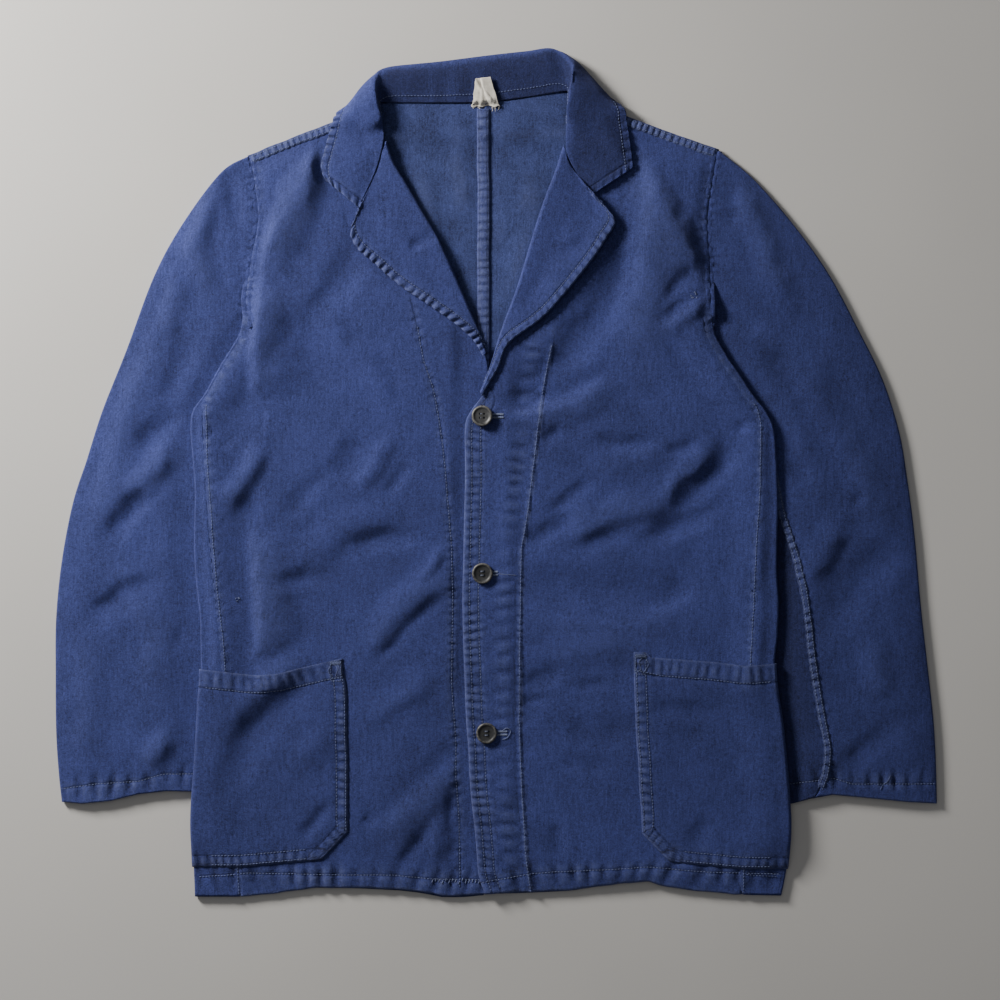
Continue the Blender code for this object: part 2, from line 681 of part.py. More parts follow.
def sleeve_rings(stations, armhole, cuff):
    """Rings of both sleeve pieces at each station: the top piece's row and the under one's."""
    top_rows = []
    under_rows = []
    for k in range(SLEEVE_STEPS + 1):
        s = k / SLEEVE_STEPS
        outer_x, outer_y, inner_x, inner_y, seam = curve_value(stations, s)
        width = math.hypot(outer_x - inner_x, outer_y - inner_y)
        turn = FOLD_D / 2

        def at(t, z):
            x, y = sleeve_place(stations, armhole, cuff, s, t)
            return (x, y, z)

        def on_top(t):
            x, y = sleeve_place(stations, armhole, cuff, s, t)
            return (x, y, sleeve_height(s, width, t, x, y))

        gap = SEAM_GAP / width
        under_seam = SLEEVE_UNDER_SEAM / width
        radius = SLEEVE_FOLD_D / 2
        top = [at(under_seam, 0.0)]
        top += [at(inward / width, z) for inward, z in half_circle(radius)]
        for i in range(1, SLEEVE_CELLS + 1):
            top.append(on_top(mix(turn / width, seam, i / SLEEVE_CELLS)))
        under = [on_top(mix(seam + gap, 1 - radius / width, i / STRIP_STEPS))
                 for i in range(STRIP_STEPS)]
        under += [at(1 - inward / width, z) for inward, z in reversed(half_circle(radius))]
        for i in range(1, UNDER_STEPS + 1):
            under.append(at(mix(1 - turn / width, under_seam + gap, i / UNDER_STEPS), 0.0))
        top_rows.append(top)
        under_rows.append(under)
    return top_rows, under_rows


def make_sleeve(name, side, stations, armhole, cuff, kind):
    """A two-piece sleeve, pressed flat: its top piece and its under piece."""
    top, under = sleeve_rings(stations, armhole, cuff)
    sheet(name + "_top", top, kind, up=side > 0)
    sheet(name + "_under", under, kind, up=side > 0)


def make_lapel(name, side, turns, gorge, kind):
    """A front and its facing turned back along the roll line, lying on the front."""
    rows = []
    radius = ROLL_D / 2
    lines = [gorge] + [[(t.roll_x, t.roll_y), (t.edge_x, t.edge_y)] for t in turns]
    for index, line in enumerate(lines):
        width = math.hypot(line[-1][0] - line[0][0], line[-1][1] - line[0][1])
        flat = ease(width / LAPEL_FULL_WIDTH)
        tall = mix(LAPEL_TIP_TALL, 1.0, flat)

        def at(distance, route=line):
            x, y = along(route, distance / width)
            if index > 0:
                return x, y
            drop = mix(GORGE_ROLL_GAP, GORGE_GAP, ease(distance / GORGE_GAP_REACH))
            return x - side * drop, y - drop / 2

        roll_x, roll_y = at(0)
        base = front_height(side, roll_x + side * LAPEL_BASE_STEP, roll_y) - CLOTH
        row = []
        for inward, height in half_circle(radius * tall):
            x, y = at(min(inward, width * LAPEL_ROLL_SHARE), (line[0], line[-1]))
            row.append((x, y, base + height))
        reach = min(radius * tall, width * LAPEL_ROLL_SHARE)
        puff = ROLL_D * tall - CLOTH - LAY_GAP - DOUBLE_CLOTH
        for i in range(1, LAPEL_CELLS + 1):
            distance = mix(reach, width, i / LAPEL_CELLS)
            x, y = at(distance)
            rise = puff * (1 - ease(distance / LAPEL_PUFF_REACH))
            if flat < 1:
                rise = max(rise, LAPEL_TIP_RISE)
            row.append((x, y, front_height(side, x, y) + LAY_GAP + DOUBLE_CLOTH + rise))
        rows.append(row)
    sheet(name, rows, kind, DOUBLE_CLOTH, up=side < 0)


def front_collar_section(ends):
    """Section of the collar that lies on a front, from the gorge seam to the free edge."""
    neck, edge = ends
    points = []
    for t in FRONT_COLLAR_SHARES:
        x, y, z = (mix(a, b, t) for a, b in zip(neck, edge))
        points.append((x, y, z + COLLAR_PUFF * math.sin(math.pi * t)))
    return Across(*points)


def collar_grid():
    """Points of the collar's outer face, section by section."""
    sections = [front_collar_section(ends) for ends in RIGHT_FRONT_COLLAR]
    sections += BACK_COLLAR
    sections += [front_collar_section(ends) for ends in LEFT_FRONT_COLLAR]
    flat = [tuple(v for point in section for v in point) for section in sections]
    grid = []
    stations = (len(sections) - 1) * COLLAR_STEPS
    across = 4 * SECTION_STEPS
    for k in range(stations + 1):
        values = curve_value(flat, k / stations)
        points = [tuple(values[i:i + 3]) for i in range(0, 15, 3)]
        row = []
        for i in range(across + 1):
            x, y, z = curve_value(points, i / across)
            row.append((x, y, max(z, 0.0)))
        grid.append(row)
    return grid


def make_button(name, x, y):
    """A four-hole button with a raised rim, lying on the top front."""
    radius = BUTTON_D / 2
    dish = BUTTON_THICK - BUTTON_DISH
    inner = [(radius - BUTTON_FOOT, 0.0), (radius, BUTTON_BEVEL), (radius, BUTTON_THICK - BUTTON_BEVEL),
             (radius - BUTTON_RIM_FLAT, BUTTON_THICK), (radius - BUTTON_RIM, BUTTON_THICK),
             (radius - BUTTON_RIM - BUTTON_FOOT, dish)]
    base = 0.0
    for k in range(BUTTON_RESTS):
        angle = 2 * math.pi * k / BUTTON_RESTS
        base = max(base, front_height(1, x + radius * math.cos(angle), y + radius * math.sin(angle)))
    points = []
    faces = []
    for k in range(BUTTON_STEPS):
        angle = 2 * math.pi * k / BUTTON_STEPS
        for r, z in inner:
            points.append(Vector((r * math.cos(angle), r * math.sin(angle), z)) * MM)
    count = len(inner)
    for k in range(BUTTON_STEPS):
        nearby = (k + 1) % BUTTON_STEPS
        for i in range(count - 1):
            faces.append((k * count + i, nearby * count + i,
                          nearby * count + i + 1, k * count + i + 1))
    faces.append([k * count for k in reversed(range(BUTTON_STEPS))])
    faces.append([k * count + count - 1 for k in range(BUTTON_STEPS)])
    mesh = bpy.data.meshes.new(name)
    mesh.from_pydata(points, [], faces)
    obj = bpy.data.objects.new(name, mesh)
    place(obj, "button")
    obj.location = Vector((x, y, base + POCKET_GAP)) * MM
    for k in range(4):
        angle = math.pi / 4 + k * math.pi / 2
        bpy.ops.mesh.primitive_cylinder_add(vertices=HOLE_STEPS, radius=BUTTON_HOLE_D / 2 * MM,
                                            depth=4 * BUTTON_THICK * MM)
        cutter = bpy.context.object
        cutter.name = f"{name}_hole_{k + 1}"
        cutter.parent = obj
        off = BUTTON_HOLE_OFF * math.sqrt(2) * MM
        cutter.location = Vector((off * math.cos(angle), off * math.sin(angle), 0))
        cutter.hide_render = True
        cutter.display_type = "WIRE"
        cut = obj.modifiers.new(f"hole {k + 1}", "BOOLEAN")
        cut.operation = "DIFFERENCE"
        cut.object = cutter
        cut.solver = "EXACT"


def make_seam_tape():
    """The felled seam down the centre of the back, on its inner face."""
    grid = []
    neck = BACK_NECK[1][2]
    stations = [TAPE_START + TAPE_STEP * k for k in range(TAPE_STEPS)]
    stations += [neck - 2 * BELOW_NECK, neck - BELOW_NECK, neck - TAPE_END]
    for y in stations:
        row = []
        for x in (-TAPE_WIDTH / 2, TAPE_WIDTH / 2):
            height = floor_lift(-1, x, y) + CLOTH + POCKET_GAP + TAPE_THICK
            row.append((x, y, height))
        grid.append(row)
    sheet("back_seam", grid, "lining_side", TAPE_THICK)


def make_label():
    """The torn stub of a white tape, folded over at the back neck."""
    grid = []
    for left, right, y, z in LABEL_OUTLINE:
        grid.append([(mix(left, right, t), y + LABEL_SKEW * t, z) for t in LABEL_SHARES])
    sheet("label_stub", grid, "cotton_tape", LABEL_THICK)


def start_empty_scene():
    """Remove what the scene holds and make the coat's parent."""
    for obj in list(bpy.data.objects):
        bpy.data.objects.remove(obj)
    coat = bpy.data.objects.new("coat", None)
    coat.location = Vector((-CENTRE_X, -CENTRE_Y, 0)) * MM
    bpy.context.scene.collection.objects.link(coat)
    return coat


COAT = start_empty_scene()
right_back = make_back("back_right", -1)
left_back = make_back("back_left", 1)
right_front = make_front("front_right", -1, "drill")
left_front = make_front("front_left", 1, "drill")
make_pocket("pocket_right", -1, right_front, right_back)
make_pocket("pocket_left", 1, left_front, left_back)
make_sleeve("sleeve_right", -1, RIGHT_SLEEVE, RIGHT_ARMHOLE, RIGHT_CUFF, "drill")
make_sleeve("sleeve_left", 1, LEFT_SLEEVE, LEFT_ARMHOLE, LEFT_CUFF, "drill_dark")
make_lapel("lapel_right", -1, RIGHT_LAPEL, RIGHT_GORGE, "drill")
make_lapel("lapel_left", 1, LEFT_LAPEL, LEFT_GORGE, "drill")
sheet("collar", collar_grid(), "drill", COLLAR_CLOTH, up=False)
make_seam_tape()
make_label()
for number, (button_x, button_y) in enumerate(BUTTONS, start=1):
    make_button(f"button_{number}", button_x, button_y)
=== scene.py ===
import math
from collections import namedtuple

import bpy
import numpy as np
from bpy.props import FloatProperty, FloatVectorProperty, PointerProperty
from bpy.types import Operator, Panel, PropertyGroup
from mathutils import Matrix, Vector
from mathutils.bvhtree import BVHTree

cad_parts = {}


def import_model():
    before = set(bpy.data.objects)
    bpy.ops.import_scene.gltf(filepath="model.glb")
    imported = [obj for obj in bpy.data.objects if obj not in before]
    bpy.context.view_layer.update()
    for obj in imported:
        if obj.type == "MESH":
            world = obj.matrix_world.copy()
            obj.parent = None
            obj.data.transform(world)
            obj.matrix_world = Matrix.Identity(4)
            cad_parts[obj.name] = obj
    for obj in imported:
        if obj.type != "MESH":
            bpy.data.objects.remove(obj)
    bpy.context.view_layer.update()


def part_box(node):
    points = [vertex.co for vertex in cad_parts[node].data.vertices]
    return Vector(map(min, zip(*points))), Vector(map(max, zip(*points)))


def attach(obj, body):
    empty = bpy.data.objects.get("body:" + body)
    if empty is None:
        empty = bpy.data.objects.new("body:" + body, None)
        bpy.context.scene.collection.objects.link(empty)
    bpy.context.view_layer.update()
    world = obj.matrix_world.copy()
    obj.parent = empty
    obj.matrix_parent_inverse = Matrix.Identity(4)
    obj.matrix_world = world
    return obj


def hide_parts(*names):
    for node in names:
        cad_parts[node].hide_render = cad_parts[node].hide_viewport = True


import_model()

bl_info = {
    "name": "Chore coat laid flat",
    "version": (1, 0, 0),
    "blender": (4, 5, 0),
    "location": "3D View > Sidebar > Coat",
    "description": "Sewn cloth, buttons and stage of a washed cotton chore coat",
    "category": "Object",
}

# Lengths in the tables are millimetres: x from the centre line towards the wearer's left,
# y up from the hem, z up from the floor. The coat's middle stands over the origin.
MM = 0.001
CENTRE_X = 11.7
CENTRE_Y = 407.5
# Creases are listed where the photograph shows them, in its pixels
PHOTO_SCALE = 0.96
PHOTO_CENTRE_LINE = 484
PHOTO_HEM = 897

DOUBLE_CLOTH = 2.0
COLLAR_CLOTH = 1.6
SEAM_GAP = 0.5
LAY_GAP = 0.8
CREASE_REACH = 1.5
CREASE_HEIGHT = 1.15
FOLD_D = 4.2
SHOULDER_D = 3.3
TOP_OVER_UNDER = 2.0
ROLL_D = 6.4
CROWN = 2.4
CROWN_COVERED = 0.9
TROUGH_ROOM = 3.4
FAR = 99.0

SIDE_LIFT = 5.1
SIDE_LIFT_FLAT = 15.0
SIDE_LIFT_END = 52.0
NECK_LIFT = 3.0
NECK_LIFT_MIDDLE = -4.0
NECK_LIFT_REACH = 134.0
NECK_LIFT_FADE = 41.0

Row = namedtuple("Row", "side_y edge_x seam_x pocket_x front_x front_y")
Station = namedtuple("Station", "outer_x outer_y inner_x inner_y seam")
Turn = namedtuple("Turn", "roll_x roll_y edge_x edge_y")
Across = namedtuple("Across", "neck stand roll belly edge")
Crease = namedtuple("Crease", "height minus plus points")


def listed(kind, rows):
    """Table whose rows have named columns."""
    return [kind(*row) for row in rows]


# Wearer's right half, from the hem up: side fold, side seam on top, pocket line, front edge
RIGHT_ROWS = listed(Row, (
    (0, -278, -234, -130, 18, 2), (14, -278.5, -235, -130, 18, 21), (27, -279, -236, -130, 18, 41),
    (48, -279.5, -238, -130, 18, 64), (72, -280.2, -240, -130, 18, 90),
    (97, -279.2, -242, -130, 18, 116), (122, -277.2, -243, -130, 18, 141),
    (147, -275.6, -245, -131, 18, 166), (172, -274.3, -246, -131, 18, 191),
    (197, -273, -248, -132, 18, 217), (219, -271.6, -249, -135, 18, 240),
    (245, -271.9, -251, -135, 18, 262), (270, -272.6, -254, -136, 18, 285),
    (300, -276, -258, -137, 18, 310), (330, -278, -261, -138, 18, 337),
    (360, -277.8, -264, -139, 18, 365), (390, -277.4, -266, -139, 18, 392),
    (420, -279.4, -267, -140, 18, 420), (448, -281.6, -269, -138, 18, 450),
    (467, -279.4, -269, -136, 12, 477), (483, -268, -261, -133, 5, 500),
    (511, -252.5, -245, -128, 1, 521), (537, -236.5, -229, -124, -11, 548),
    (555, -230.5, -223, -122, -17, 562), (574, -228.5, -228.5, -125, -34, 600),
    (608, -224.6, -224.6, -132, -49, 634), (650, -217, -217, -145, -82, 683),
    (690, -220.8, -220.8, -160, -107, 727), (712, -225.6, -225.6, -170, -104, 757),
))
# Wearer's left half, which lies on top at the closing
LEFT_ROWS = listed(Row, (
    (1, 286, 248, 152, 1, 2), (13, 288.5, 249, 152, -5, 20), (25, 290.6, 250, 152, -7, 42),
    (46, 292.4, 250, 151.5, -9, 66), (70, 293.4, 251, 151, -12, 92), (95, 292.2, 251, 149, -14, 117),
    (120, 290.4, 252, 148, -15, 142), (145, 288, 253, 146, -17, 167), (170, 285.4, 254, 145, -18, 192),
    (197, 281.4, 255, 144, -19, 220), (225, 279.2, 255.5, 143.5, -20, 248),
    (250, 281.6, 257, 143, -20.5, 268), (281, 282.9, 258, 143, -20.7, 294),
    (310, 281.2, 259, 143, -20, 318), (340, 281.4, 261, 143, -19.5, 345),
    (375, 282.2, 263.5, 143, -18.7, 378), (400, 281.6, 265, 143, -18.2, 401),
    (420, 280.8, 266, 142, -18.2, 424), (450, 278.1, 268, 140, -18.2, 452),
    (469, 268.8, 261, 137, -13, 466), (480, 259.4, 252, 133, 1.5, 487), (515, 236, 229, 126, 15, 526),
    (539, 222, 215, 122, 26, 556), (556, 219.6, 212, 122, 35, 583), (574, 217.9, 217.9, 124, 46, 611),
    (608, 217, 217, 130, 60, 656), (652, 215, 215, 140, 77, 689), (695, 220.8, 220.8, 155, 90, 722),
    (718, 224.6, 224.6, 165, 86, 768),
))
ROWS = {-1: np.array(RIGHT_ROWS), 1: np.array(LEFT_ROWS)}
UNDERARM_ROW = 23

SHOULDER = {
    -1: [(-225.6, 712.3), (-186, 728.5), (-138, 746), (-101, 759)],
    1: [(83, 771), (131.5, 750.5), (169, 737.5), (224.6, 718)],
}
BACK_NECK = {-1: (-101, 761.8, 762.0), 1: (83, 772.4, 762.0)}
BELOW_NECK = 24.0
NECK_COLUMN = 2
SHOULDER_MID = 133.0
FLOOR_SPREAD = (0.0, 0.27, 0.52, 0.77)

# How far the hem rises above its straight line
HEM = [(-279, 0), (-236, 0), (-209, 2), (-182, 5.5), (-163, 8), (-120, 7.5), (-81, 5.5), (-60, 3),
       (-40, -1), (-20, -1), (0, 1), (38, 2), (81, 4), (108, 8), (126, 10.5), (144, 12), (158, 13.5),
       (170, 9), (204, 4), (230, 2), (258, 0.5), (290, 0)]
HEM_REACH = 60.0

# Sleeves from the armhole to the cuff: the outer fold, the hidden inner fold,
# and how far across the top the back seam lies
RIGHT_SLEEVE = listed(Station, (
    (-227, 711.5, -222, 547, 0.96), (-253, 696, -229, 531, 0.96), (-289, 648, -242, 505, 0.96),
    (-317, 597, -257, 478, 0.96), (-344, 525, -267, 445, 0.96), (-367, 467, -269, 410, 0.96),
    (-382, 420, -268, 375, 0.96), (-395.5, 378, -267, 335, 0.96), (-406, 323, -265, 292, 0.96),
    (-411.5, 268, -262, 250, 0.96), (-412, 213, -262, 205, 0.96), (-411.5, 159, -265, 158, 0.96),
    (-409, 119, -267, 122, 0.96), (-406, 91, -268, 100, 0.96),
))
LEFT_SLEEVE = listed(Station, (
    (226, 717, 212, 530, 0.95), (260, 689, 218, 516, 0.95), (300, 643, 230, 496, 0.95),
    (333, 596, 246, 476, 0.95), (360, 545, 262, 448, 0.95), (383, 498, 269, 420, 0.95),
    (399, 448, 270, 394, 0.92), (407, 402, 271, 365, 0.89), (414, 348, 270, 325, 0.80),
    (420, 281, 271, 277, 0.74), (426, 227, 269, 229, 0.705), (432, 173, 274, 177, 0.684),
    (434.5, 132, 279, 133, 0.655), (435.6, 89.3, 283, 88, 0.646),
))
RIGHT_ARMHOLE = [(-227, 711.5), (-222, 690), (-218.2, 650), (-225.8, 608), (-229.8, 574),
                 (-228.5, 560), (-222, 547)]
LEFT_ARMHOLE = [(226, 717), (222, 695), (216.2, 652), (218.2, 608), (219.2, 574),
                (219.6, 550), (212, 530)]
RIGHT_CUFF = [(-406, 91), (-386, 89.3), (-359, 92), (-332, 98.5), (-305, 101.5), (-281, 100.8),
              (-268, 100)]
LEFT_CUFF = [(435.6, 89.3), (407, 91), (367, 95), (335, 98), (313, 94), (297, 89.5), (283, 88)]
SLEEVE_FOLD_D = 4.2
SLEEVE_CROWN = 3.0
SLEEVE_SIDE = 14.0
SLEEVE_RISE = 30.0
SLEEVE_RUN = 630
SLEEVE_UNDER_SEAM = 12.0

RIGHT_LAPEL = listed(Turn, (
    (-86, 705, -128, 638), (-73, 683, -121, 622), (-58, 657, -105, 608), (-44, 633, -85, 590),
    (-28, 598, -53, 568), (-12.5, 562, -26, 549), (-3, 540, -10, 534), (3.5, 524, -1, 519),
))
LEFT_LAPEL = listed(Turn, (
    (68, 696, 125.5, 650), (59, 673, 117, 631), (49, 643, 100, 606), (39.4, 611, 71, 571),
    (30.7, 583, 53, 553), (16, 543, 24, 531), (7.5, 515, 14, 508), (2, 500, 6, 494),
    (-4, 485, -1.5, 481),
))
RIGHT_GORGE = [(-96, 727), (-99.5, 712), (-104, 697), (-111, 681), (-120.5, 661)]
LEFT_GORGE = [(78.7, 722), (80.5, 711), (85.5, 700), (94, 687), (105.6, 674)]
GORGE_GAP = 1.0
GORGE_ROLL_GAP = 2.8
LAPEL_PUFF_REACH = 28.0

# Outline of what the collar and the lapels cover on each front, from the shoulder down
COVER = {
    -1: [(-150, 750), (-158, 702), (-153, 688), (-134, 664), (-129, 640), (-121, 622),
         (-105, 608), (-85, 590), (-53, 568), (-26, 549), (-10, 534), (4, 520)],
    1: [(137, 755), (144, 712), (144, 700), (129, 664), (126, 650), (117, 631), (100, 606),
        (71, 571), (53, 553), (24, 531), (14, 508), (6, 490)],
}

# Collar sections from the wearer's right front tip round the back to the left front tip,
# each from the neck seam over the roll to the free edge
RIGHT_FRONT_COLLAR = [
    ((-120.5, 662, 7.2), (-153, 689, 7.2)),
    ((-110.5, 682, 7.6), (-156.5, 702, 7.4)),
    ((-103.5, 698, 8.3), (-154, 713, 7.6)),
    ((-99, 713, 9.2), (-151, 724, 7.9)),
    ((-96, 728.2, 9.8), (-148, 735, 8.7)),
]
BACK_COLLAR = listed(Across, (
    ((-97, 741, 8.4), (-98, 742, 12), (-102, 745, 15.4), (-122, 748, 13.5), (-145, 745, 9.8)),
    ((-98.5, 753, 8.4), (-99.5, 755, 13), (-104, 760, 17.5), (-124, 761, 12), (-139.5, 756, 2)),
    ((-99, 759, 7.8), (-101, 764, 13), (-105.5, 775, 16.5), (-119, 776, 7), (-127, 758, 0.4)),
    ((-98, 762.6, 7), (-100, 773, 11), (-103, 787, 12), (-108, 785, 3), (-111, 749, 0)),
    ((-86, 762.6, 6), (-89, 787, 8.6), (-93, 797, 4.6), (-94, 787, 0.3), (-92, 744, 0)),
    ((-45, 762.6, 5.8), (-46, 789, 7.6), (-47, 802, 3.8), (-46, 789, 0), (-45, 742, 0)),
    ((0, 763.2, 5.8), (0, 795, 7.6), (0, 808, 3.8), (0, 795, 0), (0, 743, 0)),
    ((40, 767.6, 5.8), (40, 800, 7.6), (40, 812.5, 3.8), (40, 799, 0), (40, 745, 0)),
    ((69, 772.2, 6), (68, 805, 8.6), (67, 815, 4.6), (70, 803, 0.3), (72, 749, 0)),
    ((80, 773.4, 7), (82, 788, 11), (84, 802, 12), (90, 799, 3), (96, 758, 0)),
    ((80, 768, 7.8), (82, 775, 13), (85, 790, 16.5), (101, 790, 7), (113, 766, 0.4)),
    ((80, 757, 8.4), (81.5, 762, 13), (84, 770, 17.5), (109, 774, 12), (127.5, 764, 2)),
    ((79, 742, 8.4), (80, 745, 12), (83.5, 751, 15.4), (108, 758, 13.5), (135.5, 755, 9.8)),
))
LEFT_FRONT_COLLAR = [
    ((78.5, 723.2, 9.8), (137, 745, 8.7)),
    ((80.2, 712, 9.2), (139, 733, 7.9)),
    ((85.2, 701, 8.3), (140.5, 722, 7.6)),
    ((93.8, 688, 7.6), (142, 711, 7.4)),
    ((105.6, 675, 7.2), (143, 700, 7.2)),
]
COLLAR_PUFF = 1.4

# A ridge has a height above 0 and a trough one below. Points run down or to the right;
# plus is the reach to the right of a line that runs down, or above one that runs right.
FRONT_CREASES = {
    -1: listed(Crease, (
        (5.6, 13, 24, [(326, 148), (300, 185), (283, 220), (265, 260)]),
        (-2.4, 12, 16, [(356, 248), (335, 285), (313, 315)]),
        (5.6, 9, 36, [(262, 285), (258, 340), (262, 400)]),
        (-2, 10, 10, [(207, 425), (222, 432), (235, 445)]),
        (3.6, 12, 9, [(262, 447), (245, 480), (228, 510)]), (-3, 14, 14, [(361, 440), (338, 480)]),
        (2, 8, 10, [(393, 440), (361, 488)]), (-1.6, 7, 7, [(409, 464), (391, 493)]),
        (5.6, 10, 30, [(261, 530), (264, 592), (261, 659)]), (-2, 9, 9, [(275, 586), (320, 575)]),
        (-2.6, 12, 10, [(354, 547), (376, 536), (415, 537)]),
        (3.2, 11, 18, [(365, 648), (404, 609), (449, 578)]),
        (-0.6, 7, 6, [(373, 665), (418, 620), (452, 586)]), (2, 7, 8, [(418, 578), (446, 550)]),
        (3, 18, 16, [(387, 838), (421, 805), (454, 771)]), (-1.3, 9, 10, [(424, 774), (460, 746)]),
        (-1.8, 8, 8, [(424, 833), (396, 872)]), (-1.6, 6, 7, [(452, 788), (453, 872)]),
        (1.6, 6, 7, [(438, 816), (432, 866)]), (-1.6, 10, 10, [(364, 815), (376, 823)]),
        (-2.2, 18, 19, [(326, 676), (286, 701), (253, 732), (216, 785), (200, 822)]),
        (2.6, 13, 14, [(300, 660), (262, 690), (226, 724)]), (-1.8, 8, 8, [(331, 805), (300, 838)]),
        (2, 16, 14, [(300, 760), (330, 735)]), (2, 14, 16, [(290, 575), (340, 530), (390, 512)]),
        (-1.5, 9, 10, [(286, 515), (330, 470)]), (1.9, 10, 16, [(322, 325), (360, 362), (392, 405)]),
        (-1.4, 9, 10, [(345, 322), (380, 352), (404, 392)]), (1.6, 12, 14, [(372, 715), (430, 680)]),
    )),
    1: listed(Crease, (
        (5.2, 24, 13, [(635, 150), (660, 200), (690, 255), (705, 275)]),
        (-4.2, 20, 17, [(630, 222), (618, 275), (598, 320), (566, 360), (512, 400)]),
        (4.4, 22, 28, [(652, 205), (648, 280), (640, 360)]),
        (-2.6, 8, 10, [(505, 403), (550, 397), (577, 384), (603, 373)]),
        (2.6, 14, 9, [(512, 418), (552, 414), (585, 400), (612, 386)]),
        (-1.8, 7, 7, [(664, 300), (695, 270)]), (-2, 7, 8, [(668, 318), (701, 290)]),
        (2.4, 8, 10, [(667, 330), (705, 301)]), (-2.2, 8, 9, [(598, 445), (654, 440)]),
        (-1.8, 7, 7, [(667, 451), (699, 445)]), (-1.6, 6, 6, [(547, 440), (561, 427)]),
        (-1.8, 8, 8, [(551, 511), (593, 480)]), (-2.2, 10, 10, [(529, 544), (576, 516)]),
        (2.9, 10, 18, [(566, 536), (604, 519), (666, 505)]), (-1.1, 9, 9, [(576, 547), (627, 533)]),
        (-2.8, 12, 13, [(672, 516), (697, 491), (718, 467), (737, 445)]),
        (2.4, 10, 12, [(664, 500), (690, 470), (712, 446)]),
        (-3, 10, 10, [(649, 539), (680, 525), (714, 511)]), (-2, 8, 8, [(738, 423), (747, 431)]),
        (-2.6, 18, 17, [(529, 584), (582, 586), (666, 592), (690, 562)]),
        (2, 18, 16, [(540, 625), (610, 630), (680, 622)]), (-1.8, 8, 8, [(526, 684), (562, 673)]),
        (-1.6, 6, 6, [(523, 704), (548, 698)]), (-1.5, 7, 7, [(579, 687), (604, 682)]),
        (-1.8, 16, 16, [(565, 735), (596, 732), (632, 735)]), (-1.6, 8, 8, [(554, 827), (560, 858)]),
        (-1.4, 10, 10, [(652, 710), (719, 712)]), (1.8, 12, 14, [(545, 655), (610, 648), (660, 655)]),
        (-1.6, 10, 12, [(640, 612), (700, 585)]), (1.7, 12, 14, [(600, 470), (660, 452)]),
        (-1.4, 9, 10, [(560, 760), (610, 772)]), (-1.6, 9, 9, [(691, 844), (708, 822)]),
        (-1.2, 5, 5, [(466, 690), (500, 683)]), (-1.2, 5, 5, [(468, 704), (498, 697)]),
        (-1.2, 5, 5, [(466, 724), (500, 718)]), (-1.3, 5, 5, [(468, 771), (502, 764)]),
        (-1.1, 5, 5, [(470, 788), (499, 781)]), (-1.2, 5, 5, [(474, 830), (504, 823)]),
        (-1.2, 5, 5, [(478, 867), (506, 860)]),
    )),
}
SLEEVE_CREASES = {
    -1: listed(Crease, (
        (-2.8, 10, 13, [(222, 165), (233, 195), (242, 225)]),
        (3.4, 14, 13, [(207, 173), (196, 253), (212, 293)]), (2.4, 12, 13, [(178, 277), (169, 337)]),
        (-2.4, 12, 13, [(141, 447), (178, 411)]), (3.6, 14, 13, [(123, 498), (173, 452)]),
        (-3, 12, 12, [(109, 535), (146, 489)]), (-3, 13, 12, [(95, 618), (118, 599), (155, 581)]),
        (-1.8, 8, 8, [(178, 641), (192, 627)]), (2.8, 13, 13, [(146, 765), (173, 733)]),
        (1.8, 14, 16, [(120, 560), (160, 640), (150, 700)]),
        (2.2, 16, 18, [(162, 330), (122, 430), (96, 540)]), (-1.7, 12, 13, [(192, 340), (170, 400)]),
        (1.8, 14, 16, [(92, 640), (86, 760)]),
    )),
    1: listed(Crease, (
        (-1.6, 5, 5, [(714, 173), (735, 176)]), (-1.6, 5, 5, [(714, 184), (737, 188)]),
        (-1.6, 5, 5, [(714, 197), (736, 201)]), (-1.6, 6, 6, [(714, 216), (738, 219)]),
        (3, 14, 12, [(742, 180), (762, 240), (790, 300)]), (-2.4, 11, 11, [(718, 307), (763, 333)]),
        (-2.6, 10, 13, [(774, 424), (806, 489)]), (-2.6, 19, 18, [(824, 631), (861, 576), (902, 544)]),
        (3.2, 12, 14, [(810, 581), (838, 526)]), (-1.6, 11, 10, [(847, 769), (861, 751), (889, 728)]),
        (-1.6, 8, 8, [(861, 493), (856, 507)]), (2.2, 16, 14, [(870, 640), (884, 700)]),
        (2, 15, 16, [(800, 350), (845, 440), (880, 520)]), (-1.6, 12, 12, [(770, 350), (800, 400)]),
    )),
}
LAPEL_CREASES = {
    -1: listed(Crease, (
        (-1.4, 6, 7, [(408, 250), (436, 236)]), (1, 10, 12, [(385, 215), (420, 275)]),
    )),
    1: listed(Crease, (
        (1.2, 14, 12, [(575, 230), (545, 300)]), (-1, 8, 8, [(560, 255), (590, 240)]),
    )),
}
COLLAR_CREASES = listed(Crease, (
    (-1.6, 6, 6, [(554, 50), (570, 90)]), (-1.2, 7, 7, [(352, 120), (372, 150)]),
    (1.2, 9, 9, [(600, 120), (620, 160)]),
))
NECK_CREASES = listed(Crease, (
    (1.8, 12, 14, [(420, 170), (430, 240), (452, 300)]),
    (1.6, 13, 12, [(535, 160), (528, 240), (512, 300)]), (1.2, 9, 9, [(455, 130), (462, 210)]),
))

